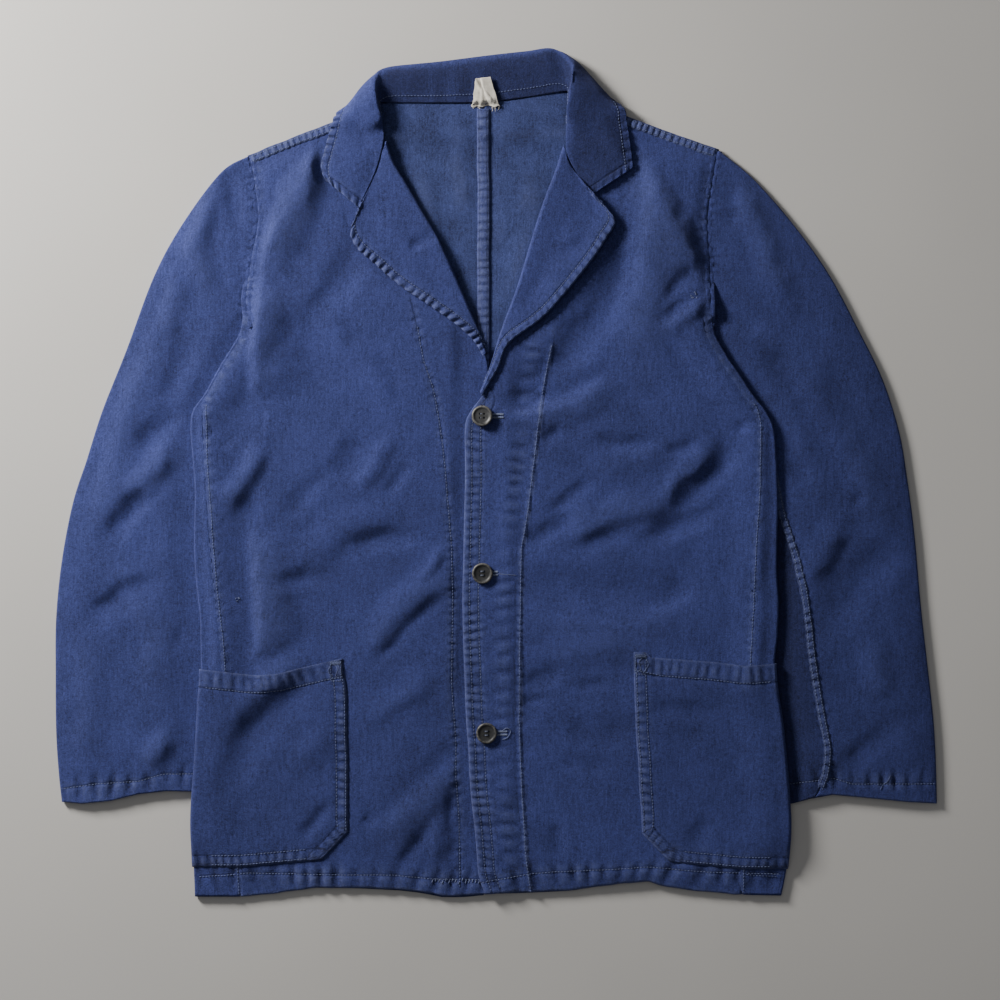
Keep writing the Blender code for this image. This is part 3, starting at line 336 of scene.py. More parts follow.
FACING_SEAM = {
    -1: [(-71, 577), (-64, 548), (-58, 515), (-49, 489), (-44, 463), (-40, 436), (-37, 409),
         (-35, 382), (-31, 335), (-30, 283), (-31, 203), (-27, 149), (-27, 116), (-24, 76), (-23, 9)],
    1: [(65, 530), (57, 489), (54, 469), (50, 436), (46, 402), (42, 369), (36, 335), (35, 285),
        (34, 203), (34, 162), (36, 112), (38, 76), (40, 40), (45, 4)],
}
HEM_SEAM = {
    -1: [(-272, 20), (-228, 23), (-135, 21), (-90, 21), (-48, 17), (12, 16)],
    1: [(-2, 14), (44, 22), (67, 24), (131, 27), (157, 29), (212, 24), (284, 22)],
}
SIDE_SEAM = {
    -1: [(-226, 562), (-225.5, 553), (-229.5, 537), (-245.5, 511), (-261.5, 483), (-266, 470),
         (-265, 420), (-262, 380), (-259, 335), (-255, 290), (-249, 240), (-247, 200), (-243, 140),
         (-240, 80), (-237, 40), (-235, 16)],
    1: [(214.2, 566), (214.2, 553), (216, 539), (229.5, 515), (252.5, 481), (261.5, 469), (265, 455),
         (265, 420), (263.5, 375), (260.5, 330), (258.5, 285), (256.5, 245), (254.5, 200), (252.5, 140),
         (250.5, 80), (250, 40), (249, 16)],
}
CUFF_SEAM = {
    -1: [(-410, 103), (-372, 108.5), (-332, 111), (-308, 118), (-272, 118)],
    1: [(437, 108.5), (353, 108.5), (335, 114), (296, 108.5), (284, 108)],
}
POCKET_TOP = {
    -1: [(-282, 219), (-273, 219), (-219, 213), (-196, 215), (-147, 226.6), (-130, 229.4)],
    1: [(143.5, 235), (155.5, 235), (160, 230), (184, 228.5), (222, 225.6), (251, 222), (285, 224.6)],
}
POCKET_BOTTOM = {-1: (29, 41), 1: (27, 41)}
POCKET_CHAMFER = (27.0, 27.0)
POCKET_BAND = 17.0

BUTTON_D = 20.0
BUTTON_THICK = 3.2
BUTTONS = [(-1.9, 461.8), (-1.5, 310.7), (2.5, 157.4)]
HOLE_D = 2.0
HOLE_OFF = 1.9


def colour_setting(name, about, value):
    """Colour property of the sidebar."""
    return FloatVectorProperty(name=name, description=about, subtype="COLOR", size=3,
                               min=0.0, max=1.0, default=value)


def length_setting(name, about, value):
    """Length property of the sidebar, in metres."""
    return FloatProperty(name=name, description=about, default=value, min=0.0,
                         unit="LENGTH", subtype="DISTANCE")


class CoatSizes(PropertyGroup):
    """Sizes of the cloth and its sewing."""
    cloth: length_setting("Cloth", "Thickness of one layer of cotton drill", 0.0012)
    stitch: length_setting("Stitch", "Length of one stitch, from hole to hole", 0.0031)
    thread: length_setting("Thread", "Thickness of the sewing thread", 0.00062)
    cell: length_setting("Cell", "Spacing of the points on the upper layers", 0.0025)


class CoatColours(PropertyGroup):
    """Colours of the cloth, the trimmings and the stage."""
    drill: colour_setting("Drill", "Dyed cotton drill", (0.0355, 0.0462, 0.166))
    faded: colour_setting("Faded", "Drill worn pale on edges and seams", (0.135, 0.165, 0.350))
    inside: colour_setting("Inside", "Inner face of the back", (0.038, 0.0515, 0.156))
    thread: colour_setting("Thread", "Sewing thread", (0.145, 0.175, 0.32))
    tape: colour_setting("Tape", "White cotton tape of the label stub", (0.78, 0.74, 0.66))
    button: colour_setting("Button", "Moulded button", (0.022, 0.023, 0.025))
    floor: colour_setting("Floor", "Studio floor", (0.62, 0.61, 0.59))


def mix(a, b, t):
    """Value part of the way from a to b."""
    return a + (b - a) * t


def ease(t):
    """Smooth step from 0 to 1."""
    t = np.clip(t, 0.0, 1.0)
    return t * t * (3 - 2 * t)


def table_value(pairs, x):
    """Value of a table of (place, value) pairs at the place x."""
    pairs = np.asarray(pairs, float)
    return np.interp(x, pairs[:, 0], pairs[:, 1])


def curve(values, places):
    """Smooth curve through evenly counted values, read at places from 0 to 1."""
    values = np.asarray(values, float)
    place = np.clip(np.asarray(places, float), 0, 1) * (len(values) - 1)
    i = np.minimum(place.astype(int), len(values) - 2)
    f = (place - i).reshape((-1,) + (1,) * (values.ndim - 1))
    p0 = values[np.maximum(i - 1, 0)]
    p1 = values[i]
    p2 = values[i + 1]
    p3 = values[np.minimum(i + 2, len(values) - 1)]
    return 0.5 * (2 * p1 + (p2 - p0) * f + (2 * p0 - 5 * p1 + 4 * p2 - p3) * f ** 2
                  + (3 * p1 - p0 - 3 * p2 + p3) * f ** 3)


def curve_across(grid, places):
    """Smooth curve along each row of a grid."""
    return np.swapaxes(curve(np.swapaxes(grid, 0, 1), places), 0, 1)


def steps_of(path, axis=0):
    """Lengths of the steps along a path or along the rows or columns of a grid."""
    return np.linalg.norm(np.diff(path, axis=axis), axis=-1)


def headings(path):
    """Unit directions along a path."""
    heading = np.gradient(path, axis=0)
    return heading / np.maximum(np.linalg.norm(heading, axis=1, keepdims=True), 1e-9)


def left_of(path):
    """Unit directions to the left of a plan path."""
    heading = headings(path)
    return np.stack([-heading[:, 1], heading[:, 0]], -1)


def spread(z, middle, rounds):
    """Heights of a grid evened out with what lies round them."""
    z = np.pad(z, rounds if middle == 4 else 0, mode="edge")
    for _ in range(rounds):
        wide = z if middle == 4 else np.pad(z, 1, mode="edge")
        z = (wide[:-2, 1:-1] + wide[2:, 1:-1] + wide[1:-1, :-2] + wide[1:-1, 2:]
             + middle * wide[1:-1, 1:-1]) / (4 + middle)
    return z


def worn_edge(wear, gap, reach, amount):
    """Wear with an edge rubbed pale."""
    return np.maximum(wear, amount * np.clip(1 - gap / reach, 0, 1))


def round_off(gap, reach, depth):
    """How far the cloth drops at an edge."""
    return -depth * np.clip(1 - gap / reach, 0, 1) ** 2


def along(points, places):
    """Points at fractions of the count along a list of points."""
    points = np.asarray(points, float)
    where = np.clip(places, 0, 1) * (len(points) - 1)
    count = np.arange(len(points))
    return np.stack([np.interp(where, count, points[:, k]) for k in range(points.shape[1])], -1)


def from_photo(points):
    """Plan places in millimetres of points in the photograph's pixels."""
    points = np.asarray(points, float)
    return np.stack([(points[:, 0] - PHOTO_CENTRE_LINE) * PHOTO_SCALE,
                     (PHOTO_HEM - points[:, 1]) * PHOTO_SCALE], -1)


def cloud(x, y, size, seed):
    """Soft random height between -1 and 1, the same in each run."""
    lattice = np.random.default_rng(seed).uniform(-1, 1, (97, 97))
    u = np.asarray(x, float) / size + 4000.3
    v = np.asarray(y, float) / size + 4000.7
    i = np.floor(u).astype(int)
    j = np.floor(v).astype(int)
    fu = ease(u - i)
    fv = ease(v - j)
    i %= 96
    j %= 96
    low = mix(lattice[i, j], lattice[i + 1, j], fu)
    high = mix(lattice[i, j + 1], lattice[i + 1, j + 1], fu)
    return mix(low, high, fv)


def measure(path, x, y):
    """Length along a path, signed distance from it (positive on its left) and its whole length."""
    x = np.asarray(x, float)
    y = np.asarray(y, float)
    best = np.full(x.shape, 1e9)
    run = np.zeros(x.shape)
    gap = np.zeros(x.shape)
    start = 0.0
    for (ax, ay), (bx, by) in zip(path[:-1], path[1:]):
        dx = bx - ax
        dy = by - ay
        length = math.hypot(dx, dy)
        t = np.clip(((x - ax) * dx + (y - ay) * dy) / length ** 2, 0, 1)
        ox = x - ax - t * dx
        oy = y - ay - t * dy
        away = np.hypot(ox, oy)
        nearer = away < best
        best = np.where(nearer, away, best)
        run = np.where(nearer, start + t * length, run)
        gap = np.where(nearer, np.where(dx * oy - dy * ox < 0, -away, away), gap)
        start += length
    return run, gap, start


def crease_sum(creases, x, y):
    """Height of the listed ridges and troughs, each with two reaches and tapered ends."""
    wobble_x = x + 3.0 * cloud(x, y, 24, 501) + 1.2 * cloud(x, y, 9, 502)
    wobble_y = y + 3.0 * cloud(x, y, 24, 503) + 1.2 * cloud(x, y, 9, 504)
    total = np.zeros(np.shape(x))
    for crease in creases:
        path = from_photo(crease.points)
        reach = CREASE_REACH * max(crease.minus, crease.plus) + 8
        near = ((wobble_x > path[:, 0].min() - reach) & (wobble_x < path[:, 0].max() + reach)
                & (wobble_y > path[:, 1].min() - reach) & (wobble_y < path[:, 1].max() + reach))
        if not near.any():
            continue
        run, gap, length = measure(path, wobble_x[near], wobble_y[near])
        away = np.abs(gap) / (CREASE_REACH * np.where(gap > 0, crease.plus, crease.minus))
        share = run / length
        taper = ease(0.35 + share * 2.6) * ease(0.35 + (1 - share) * 2.6)
        total[near] += CREASE_HEIGHT * crease.height * taper * ease(1 - away)
    return total


class Sewing:
    """Ripples and stitch grooves of one piece, kept for its material too."""

    def __init__(self):
        self.phase = np.zeros((1, 1))
        self.depth = np.zeros((1, 1))
        self.rows = []

    def ripples(self, run, gap, spacing, depth, reach, seed):
        """Height of ripples that cross a sewn line: deepest there, uneven, faded out at the reach."""
        zero = np.zeros(np.shape(run))
        drift = 0.55 * cloud(run, zero, spacing * 2.7, seed)
        slant = 0.4 * cloud(run, zero, spacing * 5.3, seed + 1)
        strength = np.clip(0.72 + 0.5 * cloud(run, zero, spacing * 1.9, seed + 2), 0.28, 1.25)
        length = reach * (0.74 + 0.26 * cloud(run, zero, spacing * 1.3, seed + 3))
        phase = run / spacing + drift + slant * gap / spacing
        fade = np.clip(1 - np.abs(gap) / length, 0, 1)
        deep = depth * strength * fade * fade * (3 - 2 * fade)
        self.phase = np.where(deep > self.depth, phase, self.phase)
        self.depth = np.maximum(deep, self.depth)
        return deep * (np.sin(2 * np.pi * phase) + 0.3 * np.sin(4 * np.pi * phase + 1.1))

    def along(self, path, x, y, *ripple):
        """Ripples across a path: their height, and the distance from the path."""
        run, gap, _ = measure(path, x, y)
        return self.ripples(run, gap + ripple[0], *ripple[1:]), gap

    def groove(self, gap, width, depth):
        """Groove that a row of stitches pulls into the cloth."""
        self.rows.append(gap)
        return -depth * np.exp(-(gap / width) ** 2)

    def pad(self, before, after):
        """Widen what is kept by columns that have no sewing."""
        ends = ((0, 0), (before, after))
        self.phase = np.pad(self.phase, ends)
        self.depth = np.pad(self.depth, ends)
        self.rows = [np.pad(row, ends, constant_values=FAR) for row in self.rows]

    def store(self, obj, shape, used):
        """Give the piece its ripples and the distances to its stitch rows."""
        rows = [np.broadcast_to(row, shape).ravel()[used] for row in self.rows]
        while len(rows) < 3:
            rows.append(np.full(len(rows[0]) if rows else len(obj.data.vertices), FAR))
        phase = np.broadcast_to(self.phase, shape).ravel()[used]
        depth = np.broadcast_to(self.depth, shape).ravel()[used]
        for key, parts in (("ripple", (phase, depth, 0 * depth)), ("rows", rows)):
            layer = obj.data.attributes.new(key, "FLOAT_VECTOR", "POINT")
            layer.data.foreach_set("vector", np.stack(parts, -1).astype(np.float32).ravel())


def crease_wear_and_shade(height):
    """Crease tone: worn pale on the crests, painted shade in the troughs, which are below 0."""
    return np.clip(0.03 * height, 0, 0.18) - 0.09 * np.clip(-height, 0, 4)


def edge_distance(side, x, y):
    """Distance of a place inward from the side fold or the armhole."""
    rows = ROWS[side]
    return np.interp(y, rows[:, 0], np.abs(rows[:, 1])) - np.abs(x)


def shoulder_distance(side, x, y):
    """Distance of a place below the shoulder seam."""
    return table_value(SHOULDER[side], x) - y


def hem_rise(x, y):
    """How far a place near the hem is drawn up."""
    return table_value(HEM, x) * (1 - ease(y / HEM_REACH))


def floor_lift(side, x, y):
    """Height of the back's underside: it lies over the sleeve's fold and the collar's fall."""
    up = ease((y - 18) / 44) * (1 - ease((y - 566) / 36))
    inward = edge_distance(side, x, y)
    reach = SIDE_LIFT_END - SIDE_LIFT_FLAT
    side_lift = SIDE_LIFT * up * (1 - ease((inward - SIDE_LIFT_FLAT) / reach))
    out = np.abs(x - NECK_LIFT_MIDDLE) - NECK_LIFT_REACH
    neck_lift = NECK_LIFT * ease((y - 718) / 18) * (1 - np.clip(out / NECK_LIFT_FADE, 0.0, 1.0))
    return np.maximum(side_lift, neck_lift)


def front_rest(side, x, y):
    """Height of a front's outer face without its creases."""
    rest = mix(SHOULDER_D, FOLD_D, ease(shoulder_distance(side, x, y) / 22))
    over = 0.0
    if side > 0:
        over = TOP_OVER_UNDER * (1 - ease((x - 20) / 18)) * (1 - ease((y - 530) / 30))
    return floor_lift(side, x, y) + rest + over


def covered(side, x, y):
    """1 under the collar and lapel of one side and 0 beyond their edges."""
    gap = measure(COVER[side], x, y)[1] * -side
    return ease((gap + 9) / 11)


def front_folds(side, x, y):
    """Creases and unevenness of a front, without its seams."""
    below = shoulder_distance(side, x, y)
    inward = edge_distance(side, x, y)
    free = ease((inward + 2) / 20) * ease((below - 4) / 26)
    if side > 0:
        free = free * mix(0.35, 1.0, ease((x - 2) / 24))
    else:
        free = free * ease((-x - 19) / 16)
    near_collar = 1 - ease((np.abs(x) - 146) / 24)
    loose = ease((y - 3) / 26) * (1 - ease((y - 640) / 60) * near_collar)
    relief = CROWN + crease_sum(FRONT_CREASES[side], x, y)
    relief = relief + 1.0 * cloud(x, y, 74, 11) + 0.5 * cloud(x, y, 31, 12)
    relief = np.where(relief < 0, -TROUGH_ROOM * np.tanh(-relief / TROUGH_ROOM), relief)
    hidden = covered(side, x, y)
    relief = mix(relief, np.minimum(relief, CROWN_COVERED), hidden)
    fine = 0.16 * cloud(x, y, 12, 13) + 0.09 * cloud(x, y, 6.5, 14)
    return relief * free * loose + fine * (1 - hidden)


def edge_path(side):
    """Front edge of one side, from the hem up to the roll line."""
    rows = ROWS[side]
    points = curve(rows[:, 4:6], np.linspace(0, 19.6 / 28, 60))
    points[:, 1] += hem_rise(points[:, 0], points[:, 1])
    return points


def hem_path(side):
    """Hem edge of one side, from its side seam to its front edge."""
    rows = ROWS[side]
    x = np.linspace(rows[0, 2], rows[0, 4], 40)
    y = mix(rows[0, 0], rows[0, 5], np.linspace(0, 1, 40))
    return np.stack([x, y + hem_rise(x, y)], -1)


def offset_path(path, distance):
    """Path moved to its left by a distance."""
    path = np.asarray(path, float)
    return path + distance * left_of(path)


def front_sewing(side, x, y, sewing):
    """Height that the seams and their puckers give to a front."""
    seen = 1 - covered(side, x, y)
    run, gap, _ = measure(FACING_SEAM[side], x, y)
    z = sewing.ripples(run, gap, 9.0, 0.42 * seen, 10, 31 + side)
    if side > 0:
        z = z + sewing.ripples(run, gap + 15, 14.5, 0.5 * seen, 20, 37)
        z = z + sewing.groove(gap - 2.6, 1.1, 0.3) + 1.0 * np.exp(-((gap - 0.4) / 2.0) ** 2) * seen
        run, gap, _ = measure(edge_path(1), x, y)
        inset = np.abs(gap)
        z = z + sewing.ripples(run, inset - 9, 8.6, 0.62 * seen, 22, 41)
        z = z + sewing.groove(np.abs(inset - 11.05) - 4.35, 1.3, 0.45) + 0.5 * ease((9 - inset) / 5)
        z = z + round_off(inset, 1.5, 1.1)
    else:
        z = z + sewing.groove(gap, 1.4, 0.5 * seen)
    up, gap = sewing.along(HEM_SEAM[side], x, y, 3, 17.5, 1.0, 24, 51 + side)
    z = z + up + sewing.groove(gap, 1.5, 0.55)
    gap = np.abs(measure(hem_path(side), x, y)[1])
    z = z + round_off(gap, 1.6, 1.1) + 0.35 * ease((14 - gap) / 6)
    rows = ROWS[side]
    armhole = np.stack([rows[UNDERARM_ROW:, 1], rows[UNDERARM_ROW:, 0]], -1)
    z = z + sewing.along(armhole, x, y, 0, 9.5, 0.5 * seen, 17, 61 + side)[0]
    z = z + sewing.along(SHOULDER[side], x, y, 0, 8.0, 0.5 * seen, 16, 71 + side)[0]
    return z + sewing.along(SIDE_SEAM[side], x, y, 0, 13.0, 0.4, 13, 81 + side)[0]


def front_top(side, x, y):
    """Height of a front's outer face with creases, seams and puckers."""
    return front_rest(side, x, y) + front_folds(side, x, y) + front_sewing(side, x, y, Sewing())


def sleeve_parts(side):
    """Tables of one sleeve: stations, armhole and cuff."""
    if side < 0:
        return RIGHT_SLEEVE, RIGHT_ARMHOLE, RIGHT_CUFF
    return LEFT_SLEEVE, LEFT_ARMHOLE, LEFT_CUFF


def sleeve_place(side, s, t):
    """Place in plan: s from the armhole to the cuff, t from the outer fold to the inner."""
    stations, armhole, cuff = sleeve_parts(side)
    lines = curve(stations, s)
    outer = lines[:, None, 0:2]
    inner = lines[:, None, 2:4]
    plan = mix(outer, inner, t[..., None])
    for end, route, weight in ((stations[0], armhole, 1 - s / 0.22),
                               (stations[-1], cuff, 1 - (1 - s) / 0.12)):
        pull = (np.maximum(weight, 0.0) ** 2)[:, None, None]
        straight = mix(np.array(end[0:2]), np.array(end[2:4]), t[..., None])
        plan = plan + pull * (along(route, t) - straight)
    return plan


def sleeve_top(side, s, t, sewing):
    """Plan place and height of a sleeve's upper layer, on rows s and fractions t."""
    lines = curve(sleeve_parts(side)[0], s)
    width = np.hypot(lines[:, 0] - lines[:, 2], lines[:, 1] - lines[:, 3])[:, None]
    plan = sleeve_place(side, s, t)
    x = plan[..., 0]
    y = plan[..., 1]
    s = s[:, None]
    outer_rise = ease((t * width - 1) / SLEEVE_RISE)
    inner_rise = ease(((1 - t) * width - SLEEVE_SIDE) / SLEEVE_RISE)
    crown = SLEEVE_CROWN * ease(0.12 + s * 4) * (1 - 0.35 * ease((s - 0.9) / 0.1))
    relief = crease_sum(SLEEVE_CREASES[side], x, y) + 0.9 * cloud(x, y, 60, 15)
    relief = relief + 0.4 * cloud(x, y, 27, 16)
    relief = relief * ease(s * 14) * ease((1 - s) * 18)
    z = SLEEVE_FOLD_D + (crown + relief) * np.sqrt(outer_rise) * inner_rise
    z = z + 0.15 * cloud(x, y, 12, 17) + 0.08 * cloud(x, y, 6.5, 18)
    up, gap = sewing.along(CUFF_SEAM[side], x, y, 3, 15.5, 0.9, 22, 91 + side)
    z = z + up + sewing.groove(gap, 1.5, 0.5)
    stations, armhole, cuff = sleeve_parts(side)
    z = z + sewing.along(armhole, x, y, 0, 9.5, 0.6 * outer_rise, 17, 95 + side)[0]
    z = z + round_off(np.abs(measure(cuff, x, y)[1]), 1.6, 1.0)
    if side > 0:
        seam = np.interp(s, np.linspace(0, 1, len(stations)), [place.seam for place in stations])
        gap = (t - seam) * width
        z = z + sewing.ripples(s * 640 + 0 * gap, gap, 11, 0.6 * ease((s - 0.35) / 0.1), 13, 99)
    return np.stack([x, y, np.maximum(z, 2.6)], -1)


def world(points):
    """Scene places in metres of points on the coat in millimetres."""
    return (np.asarray(points, float) - (CENTRE_X, CENTRE_Y, 0)) * MM


def crest(z):
    """How much each height of a grid stands out from what lies round it, from 0 to 1."""
    return np.clip((z - spread(z, 4, 5)) * 1.9, 0, 1)


def normals(grid):
    """Unit normals of a grid, upward for rows that run up and columns that run left."""
    across = np.gradient(grid, axis=1)
    upward = np.gradient(grid, axis=0)
    normal = np.cross(across, upward)
    return normal / np.maximum(np.linalg.norm(normal, axis=-1, keepdims=True), 1e-9)


def lay_out(name, points, faces, material):
    """Object of a mesh whose points are on the coat in millimetres."""
    mesh = bpy.data.meshes.new(name)
    mesh.from_pydata(world(points).tolist(), [], faces)
    mesh.validate()
    mesh.shade_smooth()
    mesh.materials.append(material)
    obj = bpy.data.objects.new(name, mesh)
    bpy.context.scene.collection.objects.link(obj)
    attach(obj, "root")
    return obj


def grid_faces(shape, flip, keep=None):
    """Quads of a grid, without the cells that keep leaves out."""
    rows, columns = shape
    start = np.arange(rows - 1)[:, None] * columns + np.arange(columns - 1)[None, :]
    if keep is not None:
        start = start[keep]
    start = start.ravel()
    steps = (0, columns, 1 + columns, 1) if flip else (0, 1, 1 + columns, columns)
    return np.stack([start + step for step in steps], -1).tolist()


def stand_for(node):
    """Hide the part of a node that a piece stands for."""
    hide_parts(node)


def set_wear_and_shade(obj, wear):
    """Store how worn each point is, for the material; values below 0 darken it, mostly as painted shade."""
    layer = obj.data.attributes.new("wear", "FLOAT", "POINT")
    layer.data.foreach_set("value", np.asarray(wear, np.float32).ravel())


def sew_sheet(name, grid, material, thick, up, wear=None, sewing=None, keep=None):
    """One cut piece of cloth: a grid of points with its thickness inside it."""
    points = grid.reshape(-1, 3)
    faces = grid_faces(grid.shape[:2], not up, keep)
    used = slice(None)
    if keep is not None:
        used = np.unique(np.array(faces))
        order = np.zeros(len(points), int)
        order[used] = np.arange(len(used))
        faces = order[np.array(faces)].tolist()
        points = points[used]
    value = np.zeros(grid.shape[:2]) if wear is None else wear
    obj = lay_out(name, points, faces, material)
    set_wear_and_shade(obj, value.ravel()[used])
    (sewing or Sewing()).store(obj, grid.shape[:2], used)
    wall = obj.modifiers.new("Thickness", "SOLIDIFY")
    wall.thickness = thick * MM
    wall.offset = -1.0
    return obj


def surface(*names):
    """Outer faces of pieces, to set threads and bands on."""
    trees = []
    for name in names:
        mesh = bpy.data.objects[name].data
        places = [v.co.copy() for v in mesh.vertices]
        trees.append(BVHTree.FromPolygons(places, [tuple(p.vertices) for p in mesh.polygons]))
    return trees


def cut(node, grid, kind, thick, up, wear, sewing, keep=None):
    """Cloth that stands for a node, with its threads and the surface that they lie on."""
    obj = sew_sheet(f"{node}_drill", grid, cloth_finish(kind), thick, up, wear, sewing, keep)
    stand_for(node)
    return obj, Threads(), surface(obj.name)


def drop(trees, x, y):
    """Highest point of some surfaces over a plan place: height and normal, or None."""
    best = None
    start = Vector(((x - CENTRE_X) * MM, (y - CENTRE_Y) * MM, 0.08))
    for tree in trees:
        hit, normal, _, _ = tree.ray_cast(start, Vector((0, 0, -1)))
        if hit is not None and (best is None or hit.z / MM > best[0]):
            best = (hit.z / MM, normal if normal.z > 0 else -normal)
    return best


def even_steps(path, step):
    """Points at even distances along a path."""
    path = np.asarray(path, float)
    lengths = np.concatenate([[0], np.cumsum(steps_of(path))])
    count = max(int(round(lengths[-1] / step)), 1)
    where = np.linspace(0, lengths[-1], count + 1)
    return np.stack([np.interp(where, lengths, path[:, k]) for k in range(path.shape[1])], -1)


def on_surface(trees, path, step, lift=0.0):
    """Even points of a plan path, set down on surfaces."""
    places = []
    for x, y in even_steps(path, step):
        found = drop(trees, x, y)
        if found:
            places.append((x, y, found[0] + lift))
        elif places:
            places.append((x, y, places[-1][2]))
    return np.array(places)


class Threads:
    """Gathers stitches and loose threads into one mesh."""

    def __init__(self):
        sizes = bpy.context.scene.coat_sizes
        self.radius = sizes.thread / MM / 2
        self.length = sizes.stitch / MM
        self.points = []
        self.faces = []

    def tube(self, path, radius=None, sides=6):
        """A thread that follows a path, closed at its ends."""
        radius = self.radius if radius is None else radius
        path = np.asarray(path, float)
        heading = headings(path)
        across = np.cross(heading, (0.0, 0.0, 1.0))
        size = np.linalg.norm(across, axis=1, keepdims=True)
        across = np.where(size > 0.05, across / np.maximum(size, 1e-9), (1.0, 0.0, 0.0))
        upward = np.cross(across, heading)
        start = len(self.points)
        last = len(path) - 1
        for k, centre in enumerate(path):
            thin = 0.45 if k in (0, last) else 1.0
            for j in range(sides):
                angle = 2 * math.pi * j / sides
                turn = math.cos(angle) * across[k] + math.sin(angle) * upward[k]
                self.points.append(centre + radius * thin * turn)
        for k in range(last):
            a = start + k * sides
            for j in range(sides):
                n = (j + 1) % sides
                self.faces.append((a + j, a + n, a + sides + n, a + sides + j))
        self.faces.append(tuple(start + j for j in reversed(range(sides))))
        self.faces.append(tuple(start + last * sides + j for j in range(sides)))

    def stitch(self, begin, end, sink=0.5):
        """One stitch: an arched thread whose ends go into the cloth."""
        steps = np.array([0.0, 0.2, 0.8, 1.0])
        path = begin + (end - begin) * steps[:, None]
        path[:, 2] += self.radius * np.array([-sink * 2, 0.5, 0.5, -sink * 2])
        self.tube(path, sides=4)

    def row(self, path, seed=5, length=None):
        """A row of stitches along a path of points on the cloth."""
        if len(path) < 2:
            return
        places = even_steps(path, length or self.length)
        drift = np.random.default_rng(seed).normal(0, 0.12, (len(places), 2))
        places[:, 0:2] += drift
        for a, b in zip(places[:-1], places[1:]):
            self.stitch(mix(a, b, 0.13), mix(a, b, 0.87))

    def sew(self, trees, path, seed=5):
        """A row of stitches along a plan path, set down on surfaces."""
        self.row(on_surface(trees, path, 1.5, 0.12), seed)

    def tack(self, trees, begin, end, step, lift, sink=0.5):
        """One stitch between two plan places, set down on surfaces."""
        ends = on_surface(trees, [begin, end], step, lift)
        if len(ends) > 1:
            self.stitch(ends[0], ends[-1], sink)

    def finish(self, name, slot, material=None):
        """Make the mesh object of all that was gathered."""
        obj = lay_out(name, np.array(self.points), self.faces, material or sewing_thread())
        return obj


class Value:
    """A number that varies over a surface, with its sums and products."""

    def __init__(self, socket):
        self.socket = socket
        self.tree = socket.id_data

    def maths(self, kind, other=0.0):
        """This value and another one, or a number, joined by a step of arithmetic."""
        made = self.tree.nodes.new("ShaderNodeMath")
        made.operation = kind
        self.tree.links.new(self.socket, made.inputs[0])
        if isinstance(other, Value):
            self.tree.links.new(other.socket, made.inputs[1])
        else:
            made.inputs[1].default_value = other
        return Value(made.outputs[0])

    def __add__(self, other):
        return self.maths("ADD", other)

    def __sub__(self, other):
        return self.maths("SUBTRACT", other)

    def __mul__(self, other):
        return self.maths("MULTIPLY", other)

    def ramp(self, low, high, start=0.0, end=1.0):
        """Range of this value mapped onto another range."""
        made = self.tree.nodes.new("ShaderNodeMapRange")
        for socket, number in zip(made.inputs[1:], (low, high, start, end)):
            socket.default_value = number
        self.tree.links.new(self.socket, made.inputs[0])
        return Value(made.outputs[0])


class Finish:
    """A procedural material, built from short steps on the object's own coordinates."""

    def __init__(self, name):
        self.material = bpy.data.materials.new(name)
        self.material.use_nodes = True
        self.tree = self.material.node_tree
        self.shader = self.tree.nodes["Principled BSDF"]
        self.place = self.tree.nodes.new("ShaderNodeTexCoord").outputs["Object"]

    def node(self, kind, **settings):
        """Shader node with its settings, and its sockets set or linked."""
        made = self.tree.nodes.new(kind)
        for key, value in settings.items():
            if hasattr(made, key):
                setattr(made, key, value)
            elif isinstance(value, bpy.types.NodeSocket):
                self.tree.links.new(value, made.inputs[key])
            else:
                made.inputs[key].default_value = value
        return made

    def noise(self, scale, detail=2.0, rough=0.5, stretch=None):
        """Noise on the piece, stretched where asked."""
        place = self.place
        if stretch:
            place = self.node("ShaderNodeMapping", Scale=stretch, Vector=place).outputs[0]
        made = self.node("ShaderNodeTexNoise", Scale=scale, Detail=detail, Roughness=rough, Vector=place)
        return Value(made.outputs["Fac"])

    def wave(self, place, **settings):
        """Bands over the piece."""
        return Value(self.node("ShaderNodeTexWave", Vector=place, **settings).outputs["Fac"])

    def stored(self, name):
        """A value that is kept at the piece's points."""
        return Value(self.node("ShaderNodeAttribute", attribute_name=name).outputs["Fac"])

    def stored_three(self, name):
        """The three values of a point attribute."""
        source = self.node("ShaderNodeAttribute", attribute_name=name).outputs["Vector"]
        return [Value(part) for part in self.node("ShaderNodeSeparateXYZ", Vector=source).outputs]

    def blend(self, share, first, second, kind="MIX"):
        """Colour between two, by a share that is a value or a number."""
        made = self.node("ShaderNodeMix", data_type="RGBA", blend_type=kind)
        if isinstance(share, Value):
            share = share.socket
        for index, value in ((0, share), (6, first), (7, second)):
            if isinstance(value, bpy.types.NodeSocket):
                self.tree.links.new(value, made.inputs[index])
            else:
                made.inputs[index].default_value = value
        return made.outputs[2]

    def emboss(self, height, strength, distance):
        """Fine relief of the surface."""
        bump = self.node("ShaderNodeBump", Strength=strength, Distance=distance, Height=height.socket)
        self.tree.links.new(bump.outputs["Normal"], self.shader.inputs["Normal"])

    def done(self, colour, **settings):
        """Give the shader its colour and its other values."""
        self.tree.links.new(colour, self.shader.inputs["Base Color"])
        for key, value in settings.items():
            socket = self.shader.inputs[key.replace("_", " ")]
            if isinstance(value, Value):
                self.tree.links.new(value.socket, socket)
            else:
                socket.default_value = value
        return self.material


def rgba(colour, gain=1.0):
    """Four-part colour, made lighter or darker."""
    return (colour[0] * gain, colour[1] * gain, colour[2] * gain, 1.0)


